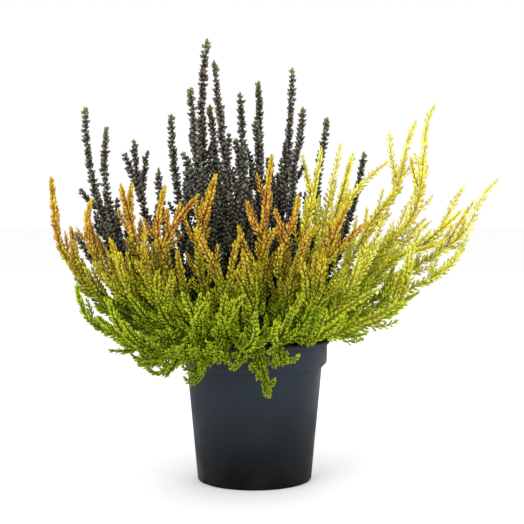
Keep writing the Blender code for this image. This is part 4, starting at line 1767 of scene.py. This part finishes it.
@dataclass
class HeatherTrio:
    """All the shoots, each in place of its plain solid."""

    room: tuple[Vector, Vector]
    seed: int = 7
    least_blush: float = 0.45
    shoots: list[bpy.types.Object] = field(default_factory=list)

    @staticmethod
    def grow_variants(kind: Heather, shape: SideShoot, chance: random.Random) -> list[bpy.types.Mesh]:
        """The few shapes that one heather's side shoots are picked from.

        Args:
            kind: The heather.
            shape: How its side shoots grow.
            chance: Where their unevenness comes from.

        Returns:
            The shapes.
        """
        count = FOLIAGE[kind].variants
        return [shape.make(f"{kind.value}_side_shoot", math.pi * n / count, chance) for n in range(count)]

    def build(self, shop: FinishShop) -> None:
        """Grows every shoot in place of the plain solid that it stands for, and hides that solid.

        Args:
            shop: Where the materials come from.
        """
        layout = ShootLayout()
        strands = layout.lay()
        layout.settle(strands)
        chance = random.Random(self.seed)
        leaves = {kind: shop.leaf(finish) for kind, finish in LEAVES.items()}
        barks = {kind: shop.bark(finish) for kind, finish in BARKS.items()}
        variants = {kind: self.grow_variants(kind, look.shape, chance) for kind, look in FOLIAGE.items()}
        sprig_variants = {
            kind: self.grow_variants(kind, look.sprig_shape, chance) for kind, look in FOLIAGE.items()
        }
        counts = {kind: 0 for kind in Heather}
        for node, plan in enumerate(PLANS):
            kind = plan.kind
            counts[kind] += 1
            cad_node = f"{kind.value}_shoot_{counts[kind]:02d}"
            shoot = LeafyShoot(
                name=cad_node + "_leafy",
                kind=kind,
                strands=[strand for strand in strands if strand.node == node],
                variants=variants[kind],
                sprig_variants=sprig_variants[kind],
                layout=layout,
                room=self.room,
                blush=chance.uniform(self.least_blush, 1.0),
                chance=chance,
            )
            piece = shoot.build(leaves[kind], barks[kind])
            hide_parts(cad_node)
            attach(piece, "root")
            report(piece)
            self.shoots.append(piece)
        for meshes in (*variants.values(), *sprig_variants.values()):
            for mesh in meshes:
                bpy.data.meshes.remove(mesh)


@dataclass
class NurseryPot:
    """The pot: one thin tapered moulding with a collar, a lip bead, drain slots and foot notches."""

    rim_radius: float = 0.060
    rim_top: float = 0.112
    collar_bottom: float = 0.0935
    neck_radius: float = 0.054
    foot_radius: float = 0.0456
    wall: float = 0.0012
    floor: float = 0.0015
    bead: float = 0.0009
    shoulder: float = 0.003
    sides: int = 128
    drain_slots: int = 8
    drain_turn: float = 0.25
    drain_size: Pair = (0.011, 0.0045)
    drain_reach: float = 0.0375
    notch_size: Pair = (0.007, 0.0024)
    notch_cut: float = 1.6
    smooth_angle: float = math.radians(32)

    def body_radius(self, height: float) -> float:
        """The pot's outer radius below the collar."""
        return self.foot_radius + (self.neck_radius - self.foot_radius) * height / self.collar_bottom

    def profile(self) -> list[Pair]:
        """The pot's section, under its floor, up outside with collar and bead, and down inside.

        Returns:
            The section's corners as (radius, height).
        """
        rim, top, wall, bead = self.rim_radius, self.rim_top, self.wall, self.bead
        foot, throat, seam = self.foot_radius, self.neck_radius, self.collar_bottom
        lip = top - 3 * bead
        collar = rim - 2 * bead
        neck = seam - self.shoulder
        outside = [
            (0.0, 0.0),
            (foot - 0.0014, 0.0),
            (foot - 0.0005, 0.0003),
            (foot, 0.0012),
            (self.body_radius(neck), neck),
            (throat + 0.0004, seam - 0.0026),
            (throat + 0.0012, seam - 0.0022),
            (collar - 0.0022, seam - 0.0006),
            (collar - 0.0010, seam),
            (collar - 0.0004, seam + 0.0010),
            (collar, lip),
            (rim - 0.4 * bead, lip + 0.3 * bead),
            (rim, lip + bead),
            (rim, top - bead),
            (rim - 0.3 * bead, top - 0.3 * bead),
            (rim - bead, top),
        ]
        inside = [
            (collar - wall, top),
            (collar - 0.0004 - wall, seam + wall + 0.0006),
            (throat - wall + 0.0008, seam - 0.0010),
            (self.body_radius(neck) - wall, neck),
            (foot - wall, self.floor + 0.0010),
            (foot - wall - 0.0010, self.floor),
            (0.0, self.floor),
        ]
        return outside + inside

    @staticmethod
    def block(size: Triple, reach: float, turn: float) -> bpy.types.Object:
        """A cutting block at the pot's foot.

        Args:
            size: Its three sides.
            reach: How far its middle is from the pot's axis.
            turn: Its angle about the axis.

        Returns:
            The block.
        """
        mesh = bmesh.new()
        place = Matrix.Translation((reach, 0.0, 0.0))
        matrix = Matrix.Rotation(turn, 4, "Z") @ place @ Matrix.Diagonal((*size, 1.0))
        bmesh.ops.create_cube(mesh, size=1.0, matrix=matrix)
        return placed("cutter", mesh, [])

    def cut(self, pot: bpy.types.Object) -> None:
        """Cuts the drain slots in the floor and a notch in the foot between each two of them.

        Args:
            pot: The pot, whose mesh is changed.
        """
        depth, width = self.drain_size
        notch, height = self.notch_size
        cutters = bpy.data.collections.new("cutters")
        bpy.context.scene.collection.children.link(cutters)
        blocks = []
        for place in range(self.drain_slots):
            turn = math.tau * (place + self.drain_turn) / self.drain_slots
            half = math.pi / self.drain_slots
            blocks.append(self.block((depth, width, 4 * self.floor), self.drain_reach, turn))
            size = (self.notch_cut * self.wall, notch, 2 * height)
            blocks.append(self.block(size, self.foot_radius, turn + half))
        for block in blocks:
            bpy.context.scene.collection.objects.unlink(block)
            cutters.objects.link(block)
        boolean = pot.modifiers.new("cuts", "BOOLEAN")
        boolean.operation = "DIFFERENCE"
        boolean.operand_type = "COLLECTION"
        boolean.collection = cutters
        graph = bpy.context.evaluated_depsgraph_get()
        data = bpy.data.meshes.new_from_object(pot.evaluated_get(graph))
        pot.modifiers.clear()
        pot.data = data
        for block in blocks:
            bpy.data.objects.remove(block, do_unlink=True)
        bpy.data.collections.remove(cutters)

    def build(self, shop: FinishShop) -> None:
        """Makes the pot in place of its plain solid, and hides that solid.

        Args:
            shop: Where its material comes from.
        """
        pot = placed("nursery_pot", turned(self.profile(), self.sides), [shop.pot(PotFinish())])
        self.cut(pot)
        pot.data.shade_smooth()
        pot.data.set_sharp_from_angle(angle=self.smooth_angle)
        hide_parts("pot")
        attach(pot, "root")
        report(pot)


@dataclass
class PeatBall:
    """The peat that fills the pot, with a crumbly top."""

    radius: float = 0.0562
    top: float = 0.102
    bottom: float = 0.0018
    foot_radius: float = 0.0436
    neck_radius: float = 0.0518
    neck: float = 0.0905
    shoulder: float = 0.006
    edge: Pair = (0.001, 0.0015)
    sides: int = 72
    rings: int = 20
    roughness: float = 0.0011
    uneven: tuple[Pair, ...] = ((90.0, 1.0), (420.0, 0.7))
    crumbs: int = 260
    crumb_size: Pair = (0.0006, 0.0019)
    crumb_berth: float = 0.003
    crumb_width: Pair = (0.7, 1.3)
    crumb_height: Pair = (0.5, 0.9)
    seed: int = 11

    def body(self) -> bmesh.types.BMesh:
        """The root ball's shape, with its top divided finely and made uneven.

        Returns:
            The closed shape.
        """
        inset, drop = self.edge
        edge = self.radius - inset
        profile = [
            (0.0, self.bottom),
            (self.foot_radius, self.bottom),
            (self.neck_radius, self.neck),
            (self.radius, self.neck + self.shoulder),
            (self.radius, self.top - drop),
            *((edge * (1 - ring / self.rings), self.top) for ring in range(self.rings + 1)),
        ]
        mesh = turned(profile, self.sides)
        for vert in mesh.verts:
            if vert.co.z > self.top - inset:
                lumps = sum(noise.noise(vert.co * scale) * share for scale, share in self.uneven)
                vert.co.z += self.roughness * lumps - self.roughness
        return mesh

    def add_crumbs(self, mesh: bmesh.types.BMesh) -> None:
        """Scatters crumbs over the top.

        Args:
            mesh: The root ball, which gets the crumbs.
        """
        chance = random.Random(self.seed)
        for _ in range(self.crumbs):
            size = chance.uniform(*self.crumb_size)
            away = (self.radius - self.crumb_berth) * math.sqrt(chance.random())
            bearing = chance.uniform(0.0, math.tau)
            place = Vector((math.cos(bearing) * away, math.sin(bearing) * away, self.top - self.roughness))
            widths = (self.crumb_width, self.crumb_width, self.crumb_height)
            stretch = [chance.uniform(*ends) for ends in widths]
            tumble = chance.uniform(0.0, math.tau)
            turn = Matrix.Rotation(tumble, 4, Vector((chance.random(), chance.random(), 1)))
            matrix = Matrix.Translation(place) @ turn @ Matrix.Diagonal((*stretch, 1.0))
            bmesh.ops.create_icosphere(mesh, subdivisions=1, radius=size, matrix=matrix)

    def build(self, shop: FinishShop) -> None:
        """Makes the peat in place of its plain solid, and hides that solid.

        Args:
            shop: Where its material comes from.
        """
        mesh = self.body()
        self.add_crumbs(mesh)
        peat = placed("peat_crumbly", mesh, [shop.peat(PeatFinish())])
        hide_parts("peat")
        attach(peat, "root")
        report(peat)


@dataclass(frozen=True)
class Lamp:
    """A soft square light: where it hangs, its side and its power in watts."""

    name: str
    place: Triple
    size: float
    power: float


@dataclass
class Studio:
    """A pale floor, soft light and a camera at the photograph's viewing angle."""

    camera_place: Triple = (0.006, -1.018, 0.235)
    camera_tilt: float = math.radians(90 - 3.45)
    sensor: float = 36.0
    lens: float = 1281 / 524 * 36.0
    clip_start: float = 0.01
    floor_radius: float = 6.0
    floor_sides: int = 96
    floor_colour: Triple = (0.97, 0.97, 0.97)
    floor_roughness: float = 0.9
    sky_strength: float = 1.0
    aim_height: float = 0.18
    lamps: tuple[Lamp, ...] = (
        Lamp("key", (-0.9, -1.3, 1.3), 1.2, 14.0),
        Lamp("fill", (1.2, -1.0, 0.7), 1.2, 6.0),
        Lamp("rim", (0.2, 1.2, 1.1), 1.0, 6.0),
    )

    def make_floor(self) -> None:
        """Lays the pale floor just under the pot."""
        mesh = bmesh.new()
        bmesh.ops.create_circle(mesh, cap_ends=True, segments=self.floor_sides, radius=self.floor_radius)
        finish, _, shader = FinishShop.start_material("floor_paper", self.floor_colour, self.floor_roughness)
        shader["Base Color"].default_value = (*self.floor_colour, 1.0)
        placed("floor", mesh, [finish])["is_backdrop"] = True

    def hang(self, lamp: Lamp) -> None:
        """Hangs a light that faces the plant.

        Args:
            lamp: The light.
        """
        data = bpy.data.lights.new(lamp.name, "AREA")
        data.size = lamp.size
        data.energy = lamp.power
        holder = bpy.data.objects.new(lamp.name, data)
        holder.location = lamp.place
        aim = UP * self.aim_height - Vector(lamp.place)
        holder.rotation_euler = aim.to_track_quat("-Z", "Y").to_euler()
        bpy.context.scene.collection.objects.link(holder)

    def make_sky(self) -> None:
        """Surrounds the scene with plain white light."""
        world = bpy.data.worlds.new("white_room")
        world.use_nodes = True
        background = world.node_tree.nodes["Background"].inputs
        background["Color"].default_value = (1.0, 1.0, 1.0, 1.0)
        background["Strength"].default_value = self.sky_strength
        bpy.context.scene.world = world

    def make_camera(self) -> None:
        """Sets up the camera."""
        data = bpy.data.cameras.new("camera")
        data.sensor_width = self.sensor
        data.lens = self.lens
        data.clip_start = self.clip_start
        camera = bpy.data.objects.new("camera", data)
        camera.location = self.camera_place
        camera.rotation_euler = (self.camera_tilt, 0.0, 0.0)
        bpy.context.scene.collection.objects.link(camera)
        bpy.context.scene.camera = camera

    def build(self) -> None:
        """Sets up the whole studio."""
        bpy.context.scene.view_settings.view_transform = "Standard"
        self.make_floor()
        for lamp in self.lamps:
            self.hang(lamp)
        self.make_sky()
        self.make_camera()


def main() -> None:
    """Builds the pot, the peat, the shoots and the studio."""
    logging.basicConfig(level=logging.INFO, format="%(name)s: %(message)s")
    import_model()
    cad_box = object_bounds()
    shop = FinishShop()
    NurseryPot().build(shop)
    PeatBall().build(shop)
    trio = HeatherTrio(room=(Vector(cad_box[0]), Vector(cad_box[1])))
    trio.build(shop)
    Studio().build()
    total = sum(len(face.vertices) - 2 for shoot in trio.shoots for face in shoot.data.polygons)
    LOG.info("%d shoots with %d triangles", len(trio.shoots), total)


if __name__ == "__main__":
    main()
